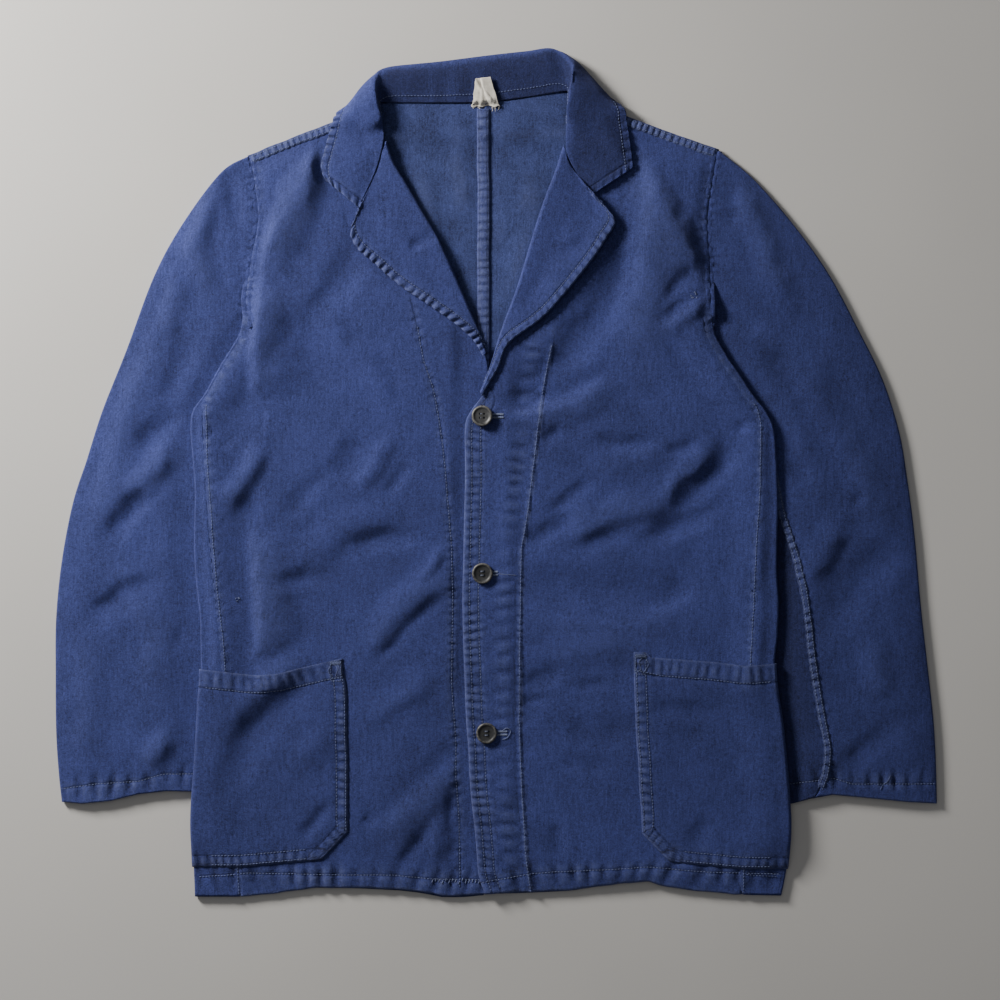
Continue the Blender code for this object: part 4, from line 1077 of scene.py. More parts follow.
def drill(name, base, faded, gain=1.0, wear_share=0.75, mottle=1.0):
    """Washed cotton drill: twill weave, slubs, brushed speckle, uneven fading, worn crests and painted shade.
    """
    if name in bpy.data.materials:
        return bpy.data.materials[name]
    cloth = Finish(name)
    fade = cloth.noise(7.0, 3.0)
    patch = cloth.noise(38.0, 3.0, 0.6)
    coarse = cloth.noise(290.0, 2.0, 0.6)
    speckle = cloth.noise(780.0, 2.0, 0.7)
    slub = cloth.noise(60.0, 2.0, 0.6, (11.0, 0.9, 11.0))
    turn = cloth.node("ShaderNodeMapping", Rotation=(0.0, 0.0, 0.66), Vector=cloth.place)
    twill = cloth.wave(turn.outputs[0], Scale=330.0, Distortion=1.2, Detail=1.0)
    phase, depth, _ = cloth.stored_three("ripple")
    wave = (phase * (2 * math.pi)).maths("SINE")
    trough = wave.ramp(-1.0, 1.0, 1.0, 0.0).maths("POWER", 2.6) * depth
    top = wave.ramp(-0.2, 1.0, 0.0, 0.30) * depth
    near = [part.maths("ABSOLUTE") for part in cloth.stored_three("rows")]
    groove = near[0].maths("MINIMUM", near[1]).maths("MINIMUM", near[2]).ramp(0.3, 1.3, 1.0, 0.0)
    tone_and_shade = fade.ramp(0.3, 0.7, 0.87, 1.13) + -1.0
    # ripple troughs and stitch grooves are darkened here as painted shade; ripple tops are made paler
    for value, low, high, drop_to, rise_to in (
            (patch, 0.3, 0.7, -0.10 * mottle, 0.11 * mottle), (coarse, 0.30, 0.70, -0.14, 0.22),
            (speckle, 0.30, 0.70, -0.36, 0.50), (slub, 0.3, 0.72, -0.15, 0.18),
            (twill, 0.0, 1.0, -0.10, 0.10), (trough, 0.0, 1.0, 0.0, -0.50),
            (top, 0.0, 1.0, 0.0, 0.8), (groove, 0.0, 1.0, 0.0, -0.34)):
        tone_and_shade = tone_and_shade + value.ramp(low, high, drop_to, rise_to)
    wear = cloth.stored("wear")
    # stored values below 0 darken the cloth: painted shade of creases, hollows and the collar stand, and some
    # darker tones
    level = ((tone_and_shade + 1.0).maths("MAXIMUM", 0.25) * wear.ramp(-1.0, 0.0, 0.45, 1.0)).socket
    grey = cloth.node("ShaderNodeCombineColor", Red=level, Green=level, Blue=level)
    dyed = cloth.blend(1.0, rgba(base, gain), grey.outputs["Color"], "MULTIPLY")
    rub = wear.maths("MAXIMUM") * cloth.noise(260.0, 3.0, 0.7).ramp(0.3, 0.68, 0.25, 1.0)
    lint = cloth.noise(1500.0, 1.0, 0.5).ramp(0.68, 0.76, 0.0, 0.35)
    share = (rub * wear_share).maths("MAXIMUM", lint)
    relief = speckle * 0.9 + twill * 0.35 + slub * 0.5 + coarse * 0.9 - trough * 1.5 - groove * 0.55
    cloth.emboss(relief, 0.85, 0.0010)
    return cloth.done(cloth.blend(share, dyed, rgba(faded, gain)),
                      Roughness=speckle.ramp(0.3, 0.7, 0.86, 0.98),
                      Specular_IOR_Level=0.15, Sheen_Weight=0.12, Sheen_Roughness=0.6,
                      Sheen_Tint=(0.65, 0.70, 0.95, 1))


def thread_material(name, colour):
    """Spun sewing thread with a fine twist."""
    if name in bpy.data.materials:
        return bpy.data.materials[name]
    spun = Finish(name)
    fleck = spun.noise(900.0, 2.0)
    spun.emboss(fleck, 0.5, 0.0002)
    tone = spun.blend(fleck.ramp(0.3, 0.7), rgba(colour, 0.7), rgba(colour, 1.25))
    return spun.done(tone, Roughness=0.8, Specular_IOR_Level=0.2)


def tape_material(colour):
    """White cotton tape, plain woven and slightly soiled."""
    tape = Finish("cotton_tape_woven")
    soil = tape.noise(120.0, 4.0, 0.6).ramp(0.35, 0.7)
    ribs = tape.wave(tape.place, Scale=520.0, Distortion=0.6, bands_direction="Y")
    tape.emboss(ribs, 0.5, 0.0003)
    return tape.done(tape.blend(soil, rgba(colour, 1.06), rgba(colour, 0.78)), Roughness=0.85)


def button_material(colour):
    """Dark moulded button, rubbed paler and duller on its rim."""
    button = Finish("button_moulded")
    mottle = button.noise(210.0, 4.0, 0.6)
    share = button.stored("wear") * button.noise(420.0, 3.0, 0.7).ramp(0.38, 0.66, 0.1, 1.0)
    dark = button.blend(mottle.ramp(0.3, 0.7), rgba(colour, 0.7), rgba(colour, 1.7))
    button.emboss(mottle, 0.25, 0.0003)
    return button.done(button.blend(share, dark, (0.155, 0.150, 0.142, 1.0)),
                       Roughness=mottle.ramp(0.3, 0.7, 0.34, 0.58))


def floor_material(colour):
    """Plain matt studio floor with a barely seen mottle."""
    floor = Finish("studio_floor")
    soft = floor.noise(3.0, 2.0).ramp(0.3, 0.7)
    return floor.done(floor.blend(soft, rgba(colour, 0.97), rgba(colour, 1.03)), Roughness=0.9,
                      Specular_IOR_Level=0.1)


def cloth_finish(kind):
    """Drill of one kind: main, shaded, pocket or inside."""
    colours = bpy.context.scene.coat_colours
    gains = {"main": 1.0, "shaded": 0.88, "pocket": 0.93}
    if kind == "inside":
        return drill("drill_inside", colours.inside, colours.faded, 1.0, 0.4, 2.6)
    return drill(f"drill_{kind}", colours.drill, colours.faded, gains[kind])


def sewing_thread():
    """Material of all the seams' thread."""
    return thread_material("sewing_thread", bpy.context.scene.coat_colours.thread)


def row_places(low, high, cell):
    """Row fractions whose heights on the side lie between two values, denser at the hem."""
    first = np.arange(low, min(34, high), 0.7 * cell)
    rest = np.arange(34, high, cell) if high > 34 else []
    return np.concatenate([first, rest, [high]])


def half_fractions(side, cell):
    """Fractions along the rows of one body half."""
    rows = ROWS[side]
    y = row_places(rows[0, 0], rows[-1, 0], cell)
    return np.interp(y, rows[:, 0], np.arange(len(rows)) / (len(rows) - 1))


def front_grid(side, cell):
    """Grid of a front from the hem up, each row from the side seam to the front edge."""
    rows = curve(ROWS[side], half_fractions(side, cell))
    wide = np.arange(0, 205, 1.08 * cell)
    close = np.arange(205, 252, 0.66 * cell)
    share = np.concatenate([wide, close, [252.0]]) / 252.0
    turned = ROWS[side][UNDERARM_ROW, 0]
    seam = rows[:, 2] - side * np.where(rows[:, 0] <= turned, SEAM_GAP, 0.0)
    x = mix(seam[:, None], rows[:, 4][:, None], share)
    t = (x - rows[:, 2][:, None]) / (rows[:, 4] - rows[:, 2])[:, None]
    y = mix(rows[:, 0][:, None], rows[:, 5][:, None], t)
    y = y + hem_rise(x, y)
    near_hem = 1 - ease(y / 26)
    y = y + near_hem * (0.5 * cloud(x, 0 * x, 9.0, 21) + 0.5 * cloud(x, 0 * x, 21.0, 22))
    return np.stack([x, y, front_top(side, x, y)], -1)


def make_front(side, name):
    """One front, with its placket, facing seam and hem."""
    sizes = bpy.context.scene.coat_sizes
    grid = front_grid(side, sizes.cell / MM)
    y = grid[..., 1]
    sewing = Sewing()
    wear = crest(front_sewing(side, grid[..., 0], y, sewing))
    # creases: crests worn pale, troughs darkened as painted shade
    wear = wear + crease_wear_and_shade(crease_sum(FRONT_CREASES[side], grid[..., 0], y))
    # painted shade: a broad dark patch over the wearer's right chest
    if side < 0:
        wear = wear - 0.55 * np.exp(-((grid[..., 0] + 130) / 60) ** 2 - ((y - 450) / 115) ** 2)
    edge = np.abs(measure(hem_path(side), grid[..., 0], y)[1])
    wear = worn_edge(wear, edge, 3.0, 0.75)
    if side > 0:
        edge = np.abs(measure(edge_path(1), grid[..., 0], y)[1])
        wear = worn_edge(wear, edge, 3.4, 0.75 + 0.25 * cloud(y, y, 12, 25))
    obj, threads, trees = cut(name, grid, "main", sizes.cloth / MM, side < 0, wear, sewing)
    lines = [FACING_SEAM[side], HEM_SEAM[side]]
    if side > 0:
        lines += [offset_path(edge_path(1), -6.7), offset_path(edge_path(1), -15.4)]
    else:
        lines[0] = [p for p in FACING_SEAM[side] if p[1] < 560]
    for seed, line in enumerate(lines):
        threads.sew(trees, line, seed)
    sewn = threads.finish(f"{name}_stitches", name)


class COAT_OT_fronts(Operator):
    """Cut and crease the two fronts, with their placket, facing seam and hem"""
    bl_idname = "coat.fronts"
    bl_label = "Fronts"

    def execute(self, context):
        for side, name in ((-1, "front_right"), (1, "front_left")):
            make_front(side, name)
        return {"FINISHED"}


def back_control(side):
    """Control points of one back half: floor layer, then the turn round the side fold."""
    neck_x, neck_y, centre_y = BACK_NECK[side]
    rows = ROWS[side]
    count = len(rows)
    grid = []
    for index in range(count):
        row = Row(*rows[index])
        turned = index <= UNDERARM_ROW
        end_x = row.edge_x - side * (FOLD_D / 2 if turned else 0.0)
        near = [abs(end_x) - d for d in (50, 30, 13)]
        from_top = count - 1 - index
        points = []
        for column, spread in enumerate(FLOOR_SPREAD):
            x = mix(side * SEAM_GAP / 2, side * near[0], spread)
            y = row.side_y
            if from_top < 3:
                x = side * SHOULDER_MID
                y = table_value(SHOULDER[side], x)
                if column <= NECK_COLUMN:
                    x = mix(side * SEAM_GAP / 2, neck_x, column / NECK_COLUMN)
                    y = mix(centre_y, neck_y, column / NECK_COLUMN)
                y -= BELOW_NECK * from_top
            points.append((x, y))
        for distance in near:
            x = side * distance
            y = row.side_y
            if from_top < 3:
                y = mix(y, table_value(SHOULDER[side], x), (1.0, 0.45, 0.1)[from_top])
            points.append((x, y))
        points.append((end_x, row.side_y))
        grid.append(points)
    return np.array(grid, float)


def turn_steps(radius, begin, count):
    """Steps round a fold up to its top: distance in from the fold and height."""
    angle = np.linspace(begin, math.pi / 2, count)
    return radius - radius * np.cos(angle), radius + radius * np.sin(angle)


def make_back(side, name):
    """One half of the back, round its side fold to the side seam."""
    sizes = bpy.context.scene.coat_sizes
    cell = sizes.cell / MM
    fractions = half_fractions(side, 2.1 * cell)
    floor = curve(back_control(side), fractions)
    floor = curve_across(floor, np.linspace(0, 1, 62))
    floor[..., 1] += hem_rise(floor[..., 0], floor[..., 1])
    x = floor[..., 0]
    y = floor[..., 1]
    z = floor_lift(side, x, y)
    neck = ease((y - 520) / 30) * (1 - ease((np.abs(x) - 70) / 22))
    folds = crease_sum(NECK_CREASES, x, y) + 0.5 + 0.5 * cloud(x, y, 30, 27)
    z = z + neck * np.maximum(folds, 0) * ease((np.abs(x) - 6) / 8)
    floor = np.concatenate([floor, z[..., None]], -1)
    rows = curve(ROWS[side], fractions)
    inward, height = turn_steps(FOLD_D / 2, -math.pi / 2, 10)
    lift = floor_lift(side, rows[:, 1], rows[:, 0])
    rise = hem_rise(rows[:, 1], rows[:, 0])
    arc_x = rows[:, 1][:, None] - side * inward
    arc_y = (rows[:, 0] + rise)[:, None] + 0 * inward
    arc = np.stack([arc_x, arc_y, lift[:, None] + height], -1)
    share = np.linspace(0, 1, 16)[1:]
    end_x = rows[:, 2] + side * SEAM_GAP / 2
    strip_x = mix(arc_x[:, -1][:, None], end_x[:, None], share)
    strip_y = rows[:, 0][:, None] + 0 * strip_x
    strip_y = strip_y + hem_rise(strip_x, strip_y)
    flat = front_rest(side, strip_x, strip_y)
    full = front_top(side, strip_x, strip_y)
    strip = np.stack([strip_x, strip_y, mix(flat, full, ease(share * 1.2))], -1)
    grid = np.concatenate([floor, arc[:, 1:], strip], axis=1)
    underarm = UNDERARM_ROW / (len(ROWS[side]) - 1)
    keep = np.ones((grid.shape[0] - 1, grid.shape[1] - 1), bool)
    keep[fractions[1:] > underarm + 0.004, floor.shape[1] - 1:] = False
    wear = 0.5 * crest(grid[..., 2])
    wear[:, floor.shape[1] - 2:] = 0
    sewing = Sewing()
    front_sewing(side, strip_x, strip_y, sewing)
    sewing.pad(grid.shape[1] - strip.shape[1], 0)
    obj, threads, trees = cut(name, grid, "inside", sizes.cloth / MM, side < 0, wear, sewing, keep)
    obj.data.materials.append(cloth_finish("main"))
    marks = np.arange(keep.size).reshape(keep.shape) % keep.shape[1] >= floor.shape[1] - 2
    obj.data.polygons.foreach_set("material_index", marks[keep].astype(np.int32))
    hem = [(rows[0, 1] - side * 4, 19), (rows[0, 2], 22)]
    threads.sew(trees, hem)
    sewn = threads.finish(f"{name}_stitches", name)


class COAT_OT_back(Operator):
    """Cut the two back halves with their side folds, and fell the centre seam"""
    bl_idname = "coat.back"
    bl_label = "Back"

    def execute(self, context):
        for side, name in ((-1, "back_right"), (1, "back_left")):
            make_back(side, name)
        self.seam(context)
        return {"FINISHED"}

    def seam(self, context):
        """Felled seam down the middle of the back, on its inner face."""
        sizes = context.scene.coat_sizes
        y = np.arange(24, 758, 1.7)
        share = np.linspace(-1, 1, 9)
        x = 5.8 * share[None, :] + (0.5 * cloud(y, y, 30, 28))[:, None] - 0.3
        rise = 1.3 * (1 - share ** 6)[None, :]
        run = y[:, None] + 0 * x
        sewing = Sewing()
        ripple = sewing.ripples(run, 0 * x, 8.2, 0.5, 40, 29)
        ripple = ripple + sewing.groove(np.abs(5.8 * share[None, :] + 0 * x) - 3.6, 0.9, 0.3)
        z = floor_lift(-1, x, run) + sizes.cloth / MM + 0.1 + rise + ripple * (1 - share ** 4)
        grid = np.stack([x, run, z], -1)
        wear = np.clip(0.35 + crest(z) * 1.4, 0, 1)
        obj, threads, trees = cut("back_seam", grid, "main", 0.8, False, wear, sewing)
        for offset in (-3.6, 3.6):
            line = np.stack([np.full(y[::4].shape, offset), y[::4]], -1)
            threads.sew(trees, line, 8)
        sewn = threads.finish("back_seam_stitches", "back_seam")


def inner_shade(side, grid):
    """Painted shade on the left sleeve where it lies against the body's edge."""
    if side < 0:
        return np.zeros(grid.shape[:2])
    return 0.9 * (1 - ease((grid[..., 0] - 280) / 75)) * ease((600 - grid[..., 1]) / 90)


def make_sleeve(side, name, kind):
    """One sleeve: its top and its under cut."""
    sizes = bpy.context.scene.coat_sizes
    cell = sizes.cell / MM
    thick = sizes.cloth / MM
    radius = SLEEVE_FOLD_D / 2
    step = cell / SLEEVE_RUN
    s = np.concatenate([np.arange(0, 0.94, step), np.arange(0.94, 1, 0.6 * cell / SLEEVE_RUN), [1.0]])
    lines = curve(sleeve_parts(side)[0], s)
    width = np.hypot(lines[:, 0] - lines[:, 2], lines[:, 1] - lines[:, 3])[:, None]
    seam = lines[:, 4][:, None]
    inward, height = turn_steps(radius, -math.pi / 2, 9)
    under_seam = SLEEVE_UNDER_SEAM / width
    begin = np.concatenate([under_seam, mix(under_seam, radius / width, 0.5)], 1)
    arc_t = np.concatenate([begin, inward[None, :] / width], 1)
    plan = sleeve_place(side, s, arc_t)
    arc_z = np.concatenate([np.zeros_like(begin), height[None, :] + 0 * width], 1)
    arc = np.concatenate([plan, arc_z[..., None]], -1)
    count = int(152 / cell)
    t = mix(radius / width, seam, np.linspace(0, 1, count)[None, 1:])
    sewing = Sewing()
    top = sleeve_top(side, s, t, sewing)
    sewing.pad(arc.shape[1], 0)
    grid = np.concatenate([arc, top], 1)
    wear = crest(grid[..., 2]) * ease((s[:, None] - 0.93) / 0.02)
    # creases: crests worn pale, troughs darkened as painted shade
    wear = wear + crease_wear_and_shade(crease_sum(SLEEVE_CREASES[side], grid[..., 0], grid[..., 1]))
    # the wear of the top, less the painted shade beside the body's edge
    wear = worn_edge(wear - inner_shade(side, grid), (1 - s[:, None]) * SLEEVE_RUN, 3.2, 0.8)
    upper, threads, trees = cut(f"{name}_top", grid, kind, thick, side > 0, wear, sewing)
    gap = SEAM_GAP / width
    t = mix(seam + gap, 1 - radius / width, np.linspace(0, 1, 22)[None, :-1])
    sewing = Sewing()
    strip = sleeve_top(side, s, t, sewing)
    plan = sleeve_place(side, s, 1 - inward[None, ::-1] / width)
    end_height = strip[:, -1:, 2] / (2 * radius)
    arc = np.concatenate([plan, (height[None, ::-1] * end_height)[..., None]], -1)
    share = np.linspace(0, 1, 14)[None, 1:]
    t = mix(1 - radius / width, under_seam + gap, share)
    plan = sleeve_place(side, s, t)
    base = np.concatenate([plan, np.zeros(t.shape)[..., None]], -1)
    grid = np.concatenate([strip, arc, base], 1)
    sewing.pad(0, grid.shape[1] - strip.shape[1])
    # the under cut has no wear, only the painted shade beside the body's edge
    wear = 0 - inner_shade(side, grid)
    lower, _, more = cut(f"{name}_under", grid, kind, thick, side > 0, wear, sewing)
    trees += more
    threads.sew(trees, CUFF_SEAM[side])
    if side > 0:
        loose = [(380, 103), (383, 108), (387, 111), (390, 117)]
        threads.tube(on_surface(trees, loose, 1.2, 0.35), 0.2)
    sewn = threads.finish(f"{name}_stitches", f"{name}_top")


class COAT_OT_sleeves(Operator):
    """Cut and crease the two-piece sleeves, pressed flat, with their cuffs"""
    bl_idname = "coat.sleeves"
    bl_label = "Sleeves"

    def execute(self, context):
        for side, name, kind, under_area in ((-1, "sleeve_right", "main", 0.07),
                                             (1, "sleeve_left", "shaded", 0.095)):
            make_sleeve(side, name, kind)
        return {"FINISHED"}


def pocket_grid(side, cell, lift):
    """Grid of a patch pocket, from its bottom up: round the side fold, then over the front."""
    rows_table = ROWS[side]
    low_y = POCKET_BOTTOM[side][0]
    y = np.concatenate([np.arange(low_y, 205, 0.9 * cell), np.arange(205, 228, 0.7 * cell), [228]])
    rows = curve(rows_table, np.interp(y, rows_table[:, 0], np.arange(29) / 28))
    share_up = (y - y[0]) / (y[-1] - y[0])
    angle = np.linspace(-math.pi / 4, math.pi / 2, 8)
    radius = FOLD_D / 2
    outer = radius + lift
    arc_x = rows[:, 1][:, None] - side * (radius - outer * np.cos(angle))
    base = floor_lift(side, rows[:, 1], rows[:, 0])[:, None]
    arc_z = base + radius + outer * np.sin(angle)
    count = int(140 / cell)
    chamfer_x, chamfer_y = POCKET_CHAMFER
    inner = rows[:, 3] + side * chamfer_x * np.clip(1 - (y - y[0]) / chamfer_y, 0, 1)
    share = np.linspace(0, 1, count)[None, 1:]
    flat_x = mix(arc_x[:, -1][:, None], inner[:, None], share)
    x = np.concatenate([arc_x, flat_x], 1)
    t = np.clip((x - rows[:, 2][:, None]) / (rows[:, 4] - rows[:, 2])[:, None], 0, 1)
    plan_y = mix(rows[:, 0][:, None], rows[:, 5][:, None], t)
    top_line = np.interp(x, *np.array(POCKET_TOP[side]).T)
    stretch = ease((share_up - 0.72) / 0.28)[:, None]
    plan_y = plan_y + stretch * (top_line - plan_y[-1][None, :])
    plan_y = plan_y + hem_rise(x, plan_y) * 0.6
    flat_z = front_rest(side, flat_x, plan_y[:, arc_x.shape[1]:])
    folds = front_folds(side, flat_x, plan_y[:, arc_x.shape[1]:])
    turn = ease(share * 3.0)
    flat_z = flat_z + folds * turn + lift
    z = np.concatenate([arc_z, flat_z], 1)
    return x, plan_y, z


class COAT_OT_pockets(Operator):
    """Sew the two patch pockets on to the fronts"""
    bl_idname = "coat.pockets"
    bl_label = "Pockets"

    def execute(self, context):
        sizes = context.scene.coat_sizes
        cell = sizes.cell / MM
        lift = sizes.cloth / MM + 0.5
        for side, name in ((-1, "pocket_right"), (1, "pocket_left")):
            x, y, z = pocket_grid(side, cell, lift)
            mouth = measure(list(zip(x[-1], y[-1])), x, y)
            edge = measure(list(zip(x[:, -1], y[:, -1])), x, y)
            foot = measure(list(zip(x[0], y[0])), x, y)
            depth = np.abs(mouth[1])
            inset = np.abs(edge[1])
            rise = np.abs(foot[1])
            sewing = Sewing()
            z = z + 0.5 * ease((POCKET_BAND + 1 - depth) / 2) + sewing.groove(depth - POCKET_BAND, 1.4, 0.5)
            z = z + sewing.ripples(mouth[0], depth - 9, 9.5, 0.6, 17, 111 + side)
            z = z + sewing.ripples(edge[0], inset - 6, 8.8, 0.6, 14, 121 + side)
            z = z + sewing.ripples(foot[0], rise - 6, 8.8, 0.6, 14, 131 + side)
            for near in (inset, rise):
                z = z + sewing.groove(np.abs(near - 7.05) - 4.45, 1.2, 0.42)
            z = z + round_off(inset, 1.4, 1.0) + round_off(rise, 1.4, 1.0)
            z = np.maximum(z, 0.2)
            gape = ease(1 - depth / 70) * ease((np.abs(x) - 165) / 40) * ease((276 - np.abs(x)) / 30)
            z = z + (3.4 if side > 0 else 1.6) * gape
            grid = np.stack([x, y, z], -1)
            near = np.minimum(np.minimum(depth - 8, inset), rise)
            wear = crest(z) * ease((22 - near) / 8)
            # creases: crests worn pale, troughs darkened as painted shade
            wear = wear + crease_wear_and_shade(crease_sum(FRONT_CREASES[side], x, y))
            if side < 0:
                wear = wear - 0.55 * ease((near - 3) / 20)
            for far in (depth, inset, rise):
                wear = worn_edge(wear, far, 2.6, 0.8)
            obj, threads, trees = cut(name, grid, "pocket", sizes.cloth / MM, side < 0, wear, sewing)
            self.sew(threads, trees, side, grid)
            sewn = threads.finish(f"{name}_stitches", name)
        return {"FINISHED"}

    def sew(self, threads, trees, side, grid):
        """Stitch rows, bar tack and loose ends of one pocket."""
        inner = grid[::6, -1, :2]
        foot = grid[0, 8::6, :2]
        for inset in (2.6, 11.5):
            for seed, edge, first in ((3, inner, 2), (4, foot, 1)):
                line = offset_path(edge, -side * inset)[first:-1]
                threads.sew(trees, line, seed)
        top = grid[-1, 8::6, :2] - (0, POCKET_BAND)
        threads.sew(trees, top, 6)
        corner = grid[-1, -1, :2]
        near = corner + (side * 12.0, -2.0)
        far = corner + (side * 2.0, -21.0)
        box = [(corner[0] + side * 2, corner[1] - 2), near, (near[0], far[1]), far,
               (corner[0] + side * 2, corner[1] - 2)]
        threads.row(on_surface(trees, box, 1.2, 0.15), 7, 2.4)
        for k in range(9):
            a = corner + (side * (2.5 + 1.1 * k), -2.5)
            threads.tack(trees, a, a + (side * 0.5, -3.2), 3.4, 0.25)
        for loose in ([(10, -4), (5, -9), (7, -16), (3, -19)], [(12, -6), (14, -12), (9, -20)]):
            path = curve([corner + (side * across, up) for across, up in loose], np.linspace(0, 1, 16))
            threads.tube(on_surface(trees, path, 1.2, 0.4), 0.2)


def lapel_grid(side, cell):
    """Grid of a lapel from the gorge down, each row from the roll line to the free edge."""
    turns = RIGHT_LAPEL if side < 0 else LEFT_LAPEL
    gorge = RIGHT_GORGE if side < 0 else LEFT_GORGE
    radius = ROLL_D / 2
    lines = [gorge] + [[(t.roll_x, t.roll_y), (t.edge_x, t.edge_y)] for t in turns]
    rows = []
    for index, line in enumerate(lines):
        width = math.hypot(line[-1][0] - line[0][0], line[-1][1] - line[0][1])
        flat = float(ease(width / 30))
        tall = mix(0.35, 1.0, flat)

        def at(distance, route=line):
            x, y = along(route, np.array(distance / width))
            if index > 0:
                return x, y
            pull = mix(GORGE_ROLL_GAP, GORGE_GAP, ease(distance / 15))
            return x - side * pull, y - pull / 2

        roll_x, roll_y = at(0)
        base = front_rest(side, roll_x + side * 4, roll_y) - 1.2
        row = []
        for angle in np.linspace(-math.pi / 2, math.pi / 2, 5):
            inward = radius * tall * (1 - math.cos(angle))
            x, y = at(min(inward, width * 0.4), (line[0], line[-1]))
            row.append((x, y, base + radius * tall * (1 + math.sin(angle))))
        reach = min(radius * tall, width * 0.4)
        puff = ROLL_D * tall - 1.2 - LAY_GAP - DOUBLE_CLOTH
        for share in np.linspace(0, 1, 6)[1:]:
            distance = mix(reach, width, share)
            x, y = at(distance)
            rise = puff * (1 - ease(distance / LAPEL_PUFF_REACH))
            if flat < 1:
                rise = max(rise, 0.2)
            crown = CROWN_COVERED * ease((abs(x) - 24) / 26)
            row.append((x, y, front_rest(side, x, y) + crown + LAY_GAP + DOUBLE_CLOTH + rise))
        rows.append(row)
    control = np.array(rows, float)
    fine = curve(control, np.linspace(0, 1, int(235 / cell)))
    fine = np.swapaxes(fine, 0, 1)
    arc = fine[:5]
    arc = curve(arc, np.linspace(0, 1, 11))
    rest = curve(fine[4:], np.linspace(0, 1, int(84 / cell)))
    return np.swapaxes(np.concatenate([arc, rest[1:]]), 0, 1)


def grid_lengths(grid):
    """Length along the last column, and each point's distance from it along its row."""
    edge = grid[:, -1]
    run = np.concatenate([[0], np.cumsum(steps_of(edge))])
    steps = steps_of(grid, 1)[:, ::-1]
    gap = np.concatenate([np.zeros((len(grid), 1)), np.cumsum(steps, axis=1)], 1)[:, ::-1]
    return run[:, None] + 0 * gap, gap


def contour(grid, gap, distance, first=0, last=None):
    """Points of a grid at a distance from its free edge."""
    places = []
    for row, gaps in list(zip(grid, gap))[first:last]:
        if gaps[0] > distance + 2:
            places.append([np.interp(-distance, -gaps, row[:, k]) for k in range(3)])
    return np.array(places)


def make_lapel(side, name, ruffle, raised):
    """One lapel with its ruffled edge."""
    grid = lapel_grid(side, 1.7)
    run, gap = grid_lengths(grid)
    width = gap[:, :1]
    small = ease(width / 40)
    x = grid[..., 0]
    y = grid[..., 1]
    share = ease(1 - gap / 30) * small
    z = grid[..., 2] + raised * share * (0.75 + 0.25 * cloud(run, 0 * run, 45, 141 + side))
    z = z + crease_sum(LAPEL_CREASES[side], x, y) * small
    z = z + (0.35 * cloud(x, y, 26, 143) + 0.12 * cloud(x, y, 9, 144)) * small
    sewing = Sewing()
    z = z + sewing.ripples(run, gap, 8.4, ruffle * ease(width / 14), 15, 145 + side)
    z = z + sewing.groove(gap - 7.8, 1.2, 0.5) + 0.35 * ease((6.5 - gap) / 2)
    z = z + round_off(gap, 1.7, 1.3)
    grid = np.stack([x, y, z], -1)
    outward = grid[:, -1] - grid[:, -3]
    outward /= np.maximum(np.linalg.norm(outward, axis=1, keepdims=True), 1e-9)
    wave = 0.55 * ruffle * np.sin(run[:, -1] / 8.4 * 2 * np.pi) * small[:, 0]
    push = np.clip(1 - gap / 9, 0, 1)[..., None]
    grid = grid + push * (wave[:, None] * outward)[:, None, :] * (1, 1, 0)
    wear = crest(z) * ease((20 - gap) / 8)
    wear = worn_edge(wear, gap, 3.2, 0.85)
    obj, threads, _ = cut(name, grid, "main", DOUBLE_CLOTH * 0.8, side < 0, wear, sewing)
    line = contour(grid, gap, 7.8, 2)
    line[:, 2] += 0.1
    threads.row(line)
    sewn = threads.finish(f"{name}_stitches", name)


class COAT_OT_lapels(Operator):
    """Turn the lapels back along their roll lines, with ruffled edges"""
    bl_idname = "coat.lapels"
    bl_label = "Lapels"

    def execute(self, context):
        for side, name, ruffle, raised in ((-1, "lapel_right", 1.15, 1.6), (1, "lapel_left", 0.5, 4.2)):
            make_lapel(side, name, ruffle, raised)
        return {"FINISHED"}


def collar_grid(cell):
    """Grid of the collar, each row from the neck seam over the roll to the free edge."""
    def front(ends):
        t = np.linspace(0, 1, 5)[:, None]
        points = mix(np.array(ends[0], float), np.array(ends[1], float), t)
        points[:, 2] += COLLAR_PUFF * np.sin(math.pi * t[:, 0])
        return points

    sections = [front(ends) for ends in RIGHT_FRONT_COLLAR]
    sections += [np.array(section, float) for section in BACK_COLLAR]
    sections += [front(ends) for ends in LEFT_FRONT_COLLAR]
    fine = curve(np.array(sections), np.linspace(0, 1, int(520 / cell)))
    fine = curve_across(fine, np.linspace(0, 1, int(96 / cell)))
    fine[..., 2] = np.maximum(fine[..., 2], 0)
    return fine


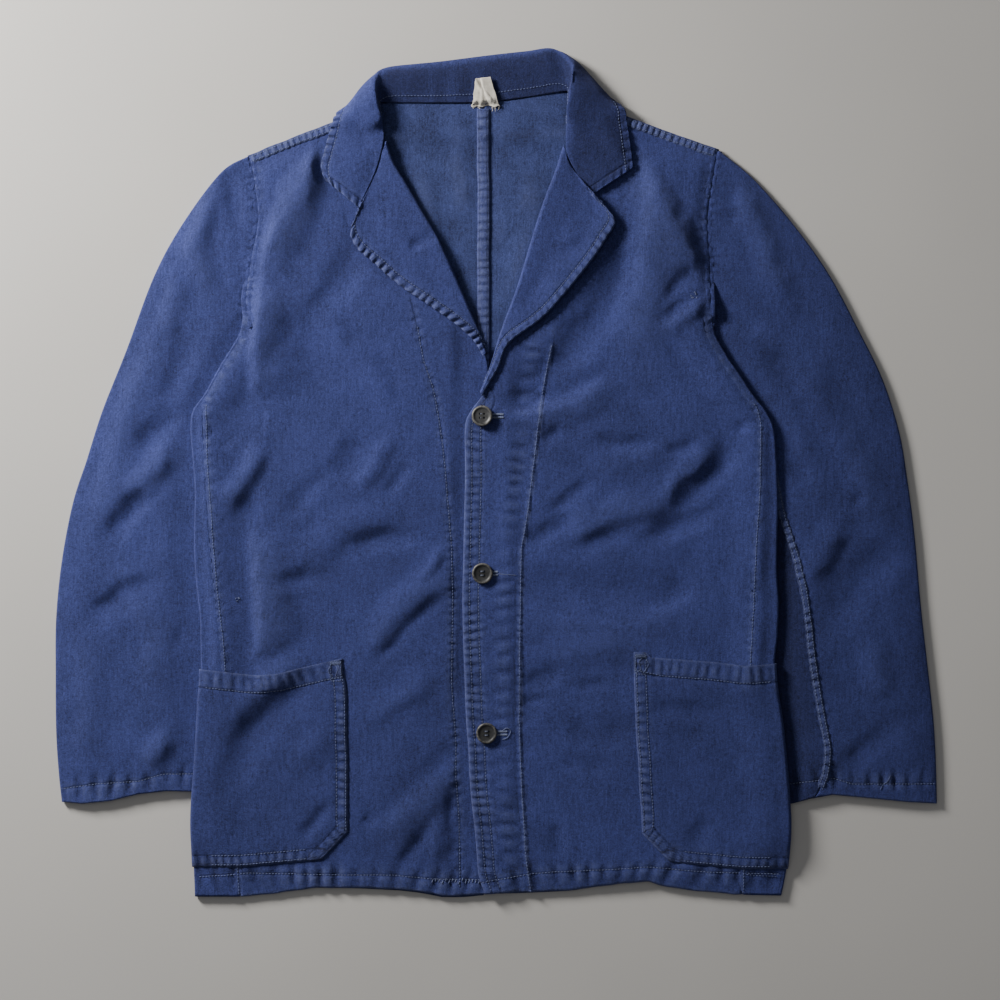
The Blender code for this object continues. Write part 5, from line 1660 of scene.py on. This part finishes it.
class COAT_OT_collar(Operator):
    """Set the collar, its stand and its stitched edge round the neck"""
    bl_idname = "coat.collar"
    bl_label = "Collar"

    def execute(self, context):
        grid = collar_grid(1.8)
        run, gap = grid_lengths(grid)
        normal = normals(grid)
        high = ease((grid[..., 2] - 2.5) / 3)
        x = grid[..., 0]
        y = grid[..., 1]
        side_ruffle = mix(1.0, 0.55, ease((x + 20) / 60))
        sewing = Sewing()
        move = sewing.ripples(run, gap, 8.6, 0.95 * side_ruffle, 14, 151)
        along_rows = steps_of(grid)
        ends = np.concatenate([0 * along_rows[:1], np.cumsum(along_rows, axis=0)])
        ends = np.minimum(ends, ends[-1:] - ends)
        move = move + sewing.ripples(gap, ends, 8.6, 0.8 * side_ruffle, 13, 161)
        move = move + sewing.groove(np.minimum(gap, ends) - 7.2, 1.2, 0.45)
        stand = gap.max(axis=1)[:, None] - gap
        column = np.linspace(0, 1, grid.shape[1])[None, :]
        move = move + (0.55 * cloud(x, 0 * y, 9, 153) + 0.35 * cloud(x, 0 * y, 4.6, 154)) \
            * ease(1 - column * 3.2) * ease(column * 12)
        move = move + 0.35 * cloud(x, y, 24, 155) * ease(gap / 20) * ease(stand / 12)
        move = move + crease_sum(COLLAR_CREASES, x, y) * ease(gap / 12) * ease(stand / 20)
        grid = grid - normal * (move * high)[..., None]
        grid[..., 2] = np.maximum(grid[..., 2], 0)
        wear = crest(grid[..., 2]) * np.maximum(ease((20 - gap) / 8), ease((18 - ends) / 8))
        wear = worn_edge(wear, np.minimum(gap, ends), 3.2, 0.85 * high)
        back = ease((y - 745) / 14)
        # painted shade on the stand below the roll at the back; the collar is also darker towards its
        # wearer's-left end
        wear = wear - 0.95 * back * ease((0.42 - column) / 0.12) - 0.75 * ease((x - 70) / 25)
        wear = wear + 0.3 * back * np.clip(cloud(x, 0 * y, 7, 157), 0, 1) * ease((0.4 - column) / 0.1)
        obj, threads, _ = cut("collar", grid, "main", COLLAR_CLOTH, False, wear, sewing)
        count = len(grid)
        front = int(count * 0.34)
        for first, last in ((2, front), (count - front, count - 2)):
            line = contour(grid, gap, 7.8, first, last)
            line[:, 2] += 0.12
            line = line[line[:, 2] > 7]
            threads.row(line)
        seam = grid[:, 4][int(count * 0.24):int(count * 0.78)] + (0, 0, 0.15)
        threads.row(seam, 9)
        sewn = threads.finish("collar_stitches", "collar")
        return {"FINISHED"}


def felled_band(name, path, width, hosts, slot, finish, spacing=7.0, depth=0.45, seed=1,
                rows=(-0.62, 0.62), sink=0.5, rise=0.95, rub=0.22, power=8, top=9999.0):
    """A felled seam: a puckered band of turned-in cloth along a path, with its stitch rows."""
    trees = surface(*hosts)
    centre = even_steps(path, 1.5)
    count = len(centre)
    left = left_of(centre)
    share = np.linspace(-1, 1, 9)
    wander = (0.35 * cloud(np.arange(count) * 1.5, 0 * left[:, 0], 14, seed))[:, None]
    half = width / 2 * (1 + 0.06 * cloud(np.arange(count) * 1.5, 0 * left[:, 0], 9, seed + 1))
    plan = centre[:, None, :] + left[:, None, :] * (half[:, None] * share + wander)[..., None]
    height = np.array([[(drop(trees, *place) or (np.nan,))[0] for place in row] for row in plan])
    for k, row in enumerate(height):
        known = ~np.isnan(row)
        if known.any():
            height[k] = np.interp(share, share[known], row[known])
        elif k:
            height[k] = height[k - 1]
    height = np.where(np.isnan(height), np.nanmin(height), height)
    smooth = height.copy()
    for k, row in enumerate(height):
        firm = row > row.max() - 3.0
        smooth[k] = np.interp(share, share[firm], row[firm])
    smooth = spread(smooth, 2, 4)
    run = np.arange(count)[:, None] * 1.5 + 0 * smooth
    end = np.arange(count)
    end = ease((np.minimum(end, end[::-1]) + 0.5) / 5)[:, None]
    welt = mix(-sink, rise, end * (1 - share ** power)[None, :])
    sewing = Sewing()
    z = smooth + welt + sewing.ripples(run, 0 * run, spacing, depth * (1 - share ** 6), 40, seed + 2)
    if len(rows) > 1:
        across = np.abs(share[None, :] * half[:, None])
        z = z + sewing.groove(across - rows[-1] * half[:, None], 0.8, 0.3)
    grid = np.stack([plan[..., 0], plan[..., 1], np.maximum(z, 0.6)], -1)
    wear = np.clip(crest(z) * 1.5 + rub, 0, 1) if rows else np.zeros(z.shape)
    if not rows:
        z = z - 0.8 * np.exp(-(share / 0.13) ** 2)[None, :]
        grid[..., 2] = z
    obj = sew_sheet(name, grid, finish, 0.6, False, wear, sewing)
    threads = Threads()
    host = surface(name)
    for line in rows:
        index = int(round((line + 1) * 4))
        line = grid[grid[:, index, 1] < top, index, :2]
        threads.sew(host, line, seed)
    sewn = [threads.finish(f"{name}_stitches", slot)] if rows else []


class COAT_OT_seams(Operator):
    """Fell the shoulder, armhole, side and sleeve seams"""
    bl_idname = "coat.seams"
    bl_label = "Felled seams"

    def execute(self, context):
        main = cloth_finish("main")
        for side, word in ((-1, "right"), (1, "left")):
            front = f"front_{word}_drill"
            back = f"back_{word}_drill"
            sleeve = f"sleeve_{word}_top_drill"
            under = f"sleeve_{word}_under_drill"
            path = [(x, y - 4.5) for x, y in SHOULDER[side][::side]]
            felled_band(f"shoulder_seam_{word}", path, 9.5, [front], front[:-6], main,
                        6.4, 0.5, 201 + side)
            armhole = RIGHT_ARMHOLE if side < 0 else LEFT_ARMHOLE
            path = [(x - side * 2.2, y) for x, y in armhole]
            if side > 0:
                path = path[:-2] + [(216.8, 560), (216.0, 548)]
            felled_band(f"armhole_seam_{word}", path, 10.2, [front, back, sleeve],
                        front[:-6], main, 12.0, 0.25, 211 + side, (), 0.3, 0.3, 0.0, 2)
            path = SIDE_SEAM[side][:-1] + [(SIDE_SEAM[side][-1][0], 1.5 if side < 0 else 2.5)]
            felled_band(f"side_seam_{word}", path, 10.2, [front, back],
                        back[:-6], main, 9.0, 0.12, 221 + side, (0.0,), 0.3, 0.25, 0.12, 2, 474)
            if side > 0:
                s = np.linspace(0.3, 1.0, 30)
                seam = curve(LEFT_SLEEVE, s)[:, 4][:, None]
                path = sleeve_place(1, s, seam)[:, 0]
                felled_band(f"sleeve_seam_{word}", path[:-1], 8.5, [sleeve, under],
                            sleeve[:-6], cloth_finish("shaded"), 8.0, 0.5, 231)
        return {"FINISHED"}


class COAT_OT_buttons(Operator):
    """Mould the four-hole buttons, sew them on and work their buttonholes"""
    bl_idname = "coat.buttons"
    bl_label = "Buttons"

    def execute(self, context):
        finish = button_material(context.scene.coat_colours.button)
        trees = surface("front_left_drill")
        for number, (x, y) in enumerate(BUTTONS, start=1):
            name = f"button_{number}"
            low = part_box(name)[0][2] / MM
            ring = [drop(trees, x + 8 * math.cos(a), y + 8 * math.sin(a)) for a in np.arange(0, 6.2, 0.7)]
            base = max([low] + [hit[0] + 0.1 for hit in ring if hit])
            tilt = (0.12, -0.08) if number == 1 else (0.0, 0.0)
            obj = self.mould(name, x, y, base, tilt, finish)
            stand_for(name)
            threads = Threads()
            top = base + BUTTON_THICK - 1.0
            for a, b in ((-1, -1), (-1, 1)):
                start = np.array([x + a * HOLE_OFF, y + b * HOLE_OFF, top])
                for shift in (-0.3, 0.3):
                    steps = np.linspace(0, 1, 7)[:, None]
                    end = start + (2 * HOLE_OFF, -0.2 * shift, 0)
                    path = start + (end - start) * steps + (0, shift, 0)
                    path[:, 2] += 0.55 * np.sin(np.pi * steps[:, 0])
                    path[:, 2] -= 0.5 * (np.abs(steps[:, 0] - 0.5) > 0.45)
                    threads.tube(path, 0.36)
            threads.finish(f"{name}_thread", name, thread_material("button_thread", (0.12, 0.135, 0.19)))
            self.buttonhole(name, x, y, trees, number)
        return {"FINISHED"}

    def mould(self, name, x, y, base, tilt, finish):
        """Turned profile with a raised rim, four holes cut through it."""
        radius = BUTTON_D / 2
        profile = [(0.0, 0.0), (7.6, 0.0), (9.2, 0.35), (9.8, 0.9), (radius, 1.5), (9.95, 2.3),
                   (9.5, 2.95), (8.9, BUTTON_THICK), (8.2, 3.15), (7.5, 2.75), (6.9, 2.35),
                   (6.0, 2.18), (3.5, 2.1), (0.0, 2.1)]
        count = 56
        angles = [2 * math.pi * k / count for k in range(count)]
        points = [(r * math.cos(a), r * math.sin(a), z) for r, z in profile[1:-1] for a in angles]
        faces = []
        for k in range(len(points) - count):
            step = (k + 1) % count - k % count
            faces.append((k, k + step, k + step + count, k + count))
        faces.append(list(reversed(range(count))))
        faces.append(list(range(len(points) - count, len(points))))
        mesh = bpy.data.meshes.new(f"{name}_moulded")
        mesh.from_pydata([Vector(p) * MM for p in points], [], faces)
        obj = bpy.data.objects.new(f"{name}_moulded", mesh)
        bpy.context.scene.collection.objects.link(obj)
        cutters = []
        off = HOLE_OFF * MM
        for place in ((-off, -off, 0), (-off, off, 0), (off, -off, 0), (off, off, 0)):
            bpy.ops.mesh.primitive_cylinder_add(vertices=20, radius=HOLE_D / 2 * MM, depth=0.02,
                                                location=place)
            cutters.append(bpy.context.object)
            cut = obj.modifiers.new("Hole", "BOOLEAN")
            cut.operation = "DIFFERENCE"
            cut.solver = "EXACT"
            cut.object = cutters[-1]
        bpy.context.view_layer.update()
        ready = bpy.data.meshes.new_from_object(obj.evaluated_get(bpy.context.evaluated_depsgraph_get()))
        obj.modifiers.clear()
        obj.data = ready
        for cutter in cutters:
            bpy.data.objects.remove(cutter)
        flat = np.array([v.co[:] for v in ready.vertices]) / MM
        wear = np.clip((np.hypot(flat[:, 0], flat[:, 1]) - 7.6) / 1.0, 0, 1) * np.clip(flat[:, 2] - 1.0, 0, 1)
        z = flat[:, 2] + tilt[0] * flat[:, 0] + tilt[1] * flat[:, 1]
        z = z - z.min() + base
        placed = world(np.stack([flat[:, 0] + x, flat[:, 1] + y, z], -1))
        ready.vertices.foreach_set("co", placed.astype(np.float32).ravel())
        ready.shade_smooth()
        ready.set_sharp_from_angle(angle=math.radians(40))
        ready.materials.clear()
        ready.materials.append(finish)
        set_wear_and_shade(obj, wear)
        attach(obj, "root")
        return obj

    def buttonhole(self, name, x, y, trees, number):
        """Worked buttonhole that runs out to the right from under the button."""
        threads = Threads()
        reach = (21.0, 15.5, 20.5)[number - 1]
        for k in range(int(reach / 0.75)):
            px = x + 3 + k * 0.75 * (reach - 3) / reach
            for way in (-1, 1):
                threads.tack(trees, (px, y + way * 0.45), (px, y + way * 2.5), 2.0, 0.3, 0.3)
        if number == 2:
            slit = on_surface(trees, [(x + 15, y - 0.5), (x + 24, y - 1), (x + 33, y - 2)], 1.5, 0.12)
            threads.tube(slit, 0.2)
        if number == 3:
            loop = [(x + 14, y + 1), (x + 19, y + 5), (x + 23, y + 2), (x + 20, y - 4), (x + 15, y - 6)]
            smooth = curve(loop, np.linspace(0, 1, 24))
            threads.tube(on_surface(trees, smooth, 1.2, 0.5), 0.24)
        pale = thread_material("buttonhole_thread", (0.20, 0.235, 0.37))
        threads.finish(f"{name}_buttonhole", "front_left", pale)


class COAT_OT_label(Operator):
    """Fold the torn stub of white tape at the back neck"""
    bl_idname = "coat.label"
    bl_label = "Label stub"

    def execute(self, context):
        u = np.linspace(0, 1, 40)[None, :]
        v = np.linspace(0, 1, 34)[:, None]
        left = mix(-11.5, -8.0, v) + 1.6 * cloud(v * 30, 0 * v, 3.0, 301) * (1 - v)
        right = mix(15.0, 6.5, v) + 0.5 * cloud(v * 30, 0 * v, 5.0, 302)
        x = mix(left, right, u)
        low = 759.0 + 1.7 * cloud(u * 27, 0 * u, 2.6, 303) + 1.3 * cloud(u * 27, 0 * u, 6.5, 304)
        y = mix(low, 785.0 + 1.6 * u, v)
        trees = surface("collar_drill", "back_right_drill", "back_left_drill")
        base = np.array([[(drop(trees, px, py) or (4.0,))[0] for px, py in zip(rx, ry)]
                         for rx, ry in zip(x[::3, ::3], y[::3, ::3])])
        base = np.maximum(base, base.max(axis=1, keepdims=True) - 1.0)
        base = curve_across(curve(base, v[:, 0]), u[0])
        z = base + 1.0 + 1.1 * np.exp(-((v - 0.95 + 1.0 * u) / 0.10) ** 2)
        z = z + 1.2 * ease((u - 0.62 + 0.3 * v) / 0.06) + 0.3 * cloud(x, y, 5, 305)
        z = z + 0.9 * np.exp(-((u - 0.3 - 0.2 * v) / 0.07) ** 2) * (1 - v)
        grid = np.stack([x + 0 * v, y, z], -1)
        tape = tape_material(context.scene.coat_colours.tape)
        obj = sew_sheet("label_stub_tape", grid, tape, 0.7, False)
        stand_for("label_stub")
        threads = Threads()
        rng = np.random.default_rng(311)
        for k in range(26):
            place = grid[0, int(rng.integers(0, 40))]
            if k % 3 == 0:
                place = grid[int(rng.integers(0, 12)), 0]
            turn = rng.uniform(-2.4, -0.9)
            reach = rng.uniform(1.5, 5.0)
            steps = np.linspace(0, 1, 6)
            path = place + np.stack([reach * steps * math.cos(turn) + 0.5 * np.sin(steps * 5 + k),
                                     reach * steps * math.sin(turn), -0.5 * steps], -1)
            threads.tube(path, 0.14, 5)
        fray = threads.finish("label_stub_fray", "label_stub", tape)
        return {"FINISHED"}


class COAT_OT_mends(Operator):
    """Darn, mended hem and loose threads of long use"""
    bl_idname = "coat.mends"
    bl_label = "Mends"

    def execute(self, context):
        rng = np.random.default_rng(401)
        threads = Threads()
        trees = surface("front_right_drill")
        for k in range(26):
            cx = rng.uniform(-186, -175)
            cy = rng.uniform(46, 60)
            turn = rng.uniform(0, math.pi)
            size = rng.uniform(2.0, 4.5)
            middle = np.array([cx, cy])
            half = np.array([math.cos(turn), math.sin(turn)]) * size / 2
            threads.tack(trees, middle - half, middle + half, size, 0.3, 0.3)
        for k in range(20):
            px = -50 + 3.2 * k
            py = 15 + rng.uniform(-1.4, 1.4)
            threads.tack(trees, (px, py - 1.6), (px + 1.0, py + 1.8), 3.5, 0.3, 0.3)
        self.specks(threads, trees, rng, (-236, 285), 2.5, 5)
        pale = thread_material("mending_thread", (0.19, 0.225, 0.37))
        threads.finish("front_right_mends", "front_right", pale)
        threads = Threads()
        self.specks(threads, surface("front_left_drill"), rng, (201, 577), 3.0, 8)
        threads.finish("front_left_snag", "front_left", pale)
        return {"FINISHED"}

    def specks(self, threads, trees, rng, middle, spread, count):
        """Short broken threads that stand out round a place."""
        for _ in range(count):
            start = np.array(middle) + rng.uniform(-spread, spread, 2)
            turn = rng.uniform(0, math.pi)
            reach = 1.6 * np.array([math.cos(turn), math.sin(turn)])
            threads.tack(trees, start, start + reach, 1.6, 0.25, 0.2)


class COAT_OT_stage(Operator):
    """Lay the pale floor and set the soft studio lights and the camera"""
    bl_idname = "coat.stage"
    bl_label = "Stage"

    def execute(self, context):
        scene = context.scene
        mesh = bpy.data.meshes.new("floor")
        size = 3.0
        step = 24
        places = np.linspace(-size, size, step + 1)
        points = [(x, y, -0.0004) for y in places for x in places]
        mesh.from_pydata(points, [], grid_faces((step + 1, step + 1), False))
        mesh.materials.append(floor_material(scene.coat_colours.floor))
        floor = bpy.data.objects.new("floor", mesh)
        scene.collection.objects.link(floor)
        target = Vector((0.0037, -0.0264, 0.006))
        self.light("key_light", target, (-0.80, 0.60), 21, 1.75, 0.42, 57.0)
        self.light("fill_light", target, (-0.3, 0.3), 74, 2.6, 2.2, 4.5)
        world_light = bpy.data.worlds.new("studio")
        world_light.use_nodes = True
        back = world_light.node_tree.nodes["Background"]
        back.inputs["Color"].default_value = (0.95, 0.96, 1.0, 1)
        back.inputs["Strength"].default_value = 0.12
        scene.world = world_light
        camera = bpy.data.objects.new("camera", bpy.data.cameras.new("camera"))
        height = 2.1
        camera.data.sensor_width = 36.0
        camera.data.lens = 36.0 * height / (PHOTO_SCALE)
        camera.location = target + Vector((0, 0, height))
        camera.rotation_euler = (0, 0, 0)
        scene.collection.objects.link(camera)
        scene.camera = camera
        return {"FINISHED"}

    def light(self, name, target, plan, elevation, distance, size, power):
        """Soft square light that looks at the coat."""
        data = bpy.data.lights.new(name, "AREA")
        data.size = size
        data.energy = power
        data.color = (1.0, 0.97, 0.93)
        lamp = bpy.data.objects.new(name, data)
        flat = Vector((plan[0], plan[1], 0)).normalized()
        angle = math.radians(elevation)
        away = flat * math.cos(angle) + Vector((0, 0, math.sin(angle)))
        lamp.location = target + away * distance
        lamp.rotation_euler = away.to_track_quat("Z", "Y").to_euler()
        bpy.context.scene.collection.objects.link(lamp)


class COAT_PT_sidebar(Panel):
    """Steps and settings of the coat"""
    bl_idname = "COAT_PT_sidebar"
    bl_label = "Chore coat"
    bl_space_type = "VIEW_3D"
    bl_region_type = "UI"
    bl_category = "Coat"

    def draw(self, context):
        for step in STEPS:
            self.layout.operator(step.bl_idname)
        for group in (context.scene.coat_sizes, context.scene.coat_colours):
            for key in group.__annotations__:
                self.layout.prop(group, key)


STEPS = (COAT_OT_back, COAT_OT_fronts, COAT_OT_sleeves, COAT_OT_pockets, COAT_OT_lapels,
         COAT_OT_collar, COAT_OT_seams, COAT_OT_buttons, COAT_OT_label, COAT_OT_mends, COAT_OT_stage)
CLASSES = (CoatSizes, CoatColours) + STEPS + (COAT_PT_sidebar,)


def register():
    """Add the coat's settings, steps and panel."""
    for kind in CLASSES:
        bpy.utils.register_class(kind)
    bpy.types.Scene.coat_sizes = PointerProperty(type=CoatSizes)
    bpy.types.Scene.coat_colours = PointerProperty(type=CoatColours)


def unregister():
    """Remove what register added."""
    del bpy.types.Scene.coat_colours
    del bpy.types.Scene.coat_sizes
    for kind in reversed(CLASSES):
        bpy.utils.unregister_class(kind)


def main():
    """Make the coat step by step."""
    register()
    bpy.ops.coat.back()
    bpy.ops.coat.fronts()
    bpy.ops.coat.sleeves()
    bpy.ops.coat.pockets()
    bpy.ops.coat.lapels()
    bpy.ops.coat.collar()
    bpy.ops.coat.seams()
    bpy.ops.coat.buttons()
    bpy.ops.coat.label()
    bpy.ops.coat.mends()
    bpy.ops.coat.stage()
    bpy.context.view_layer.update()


if __name__ == "__main__":
    main()
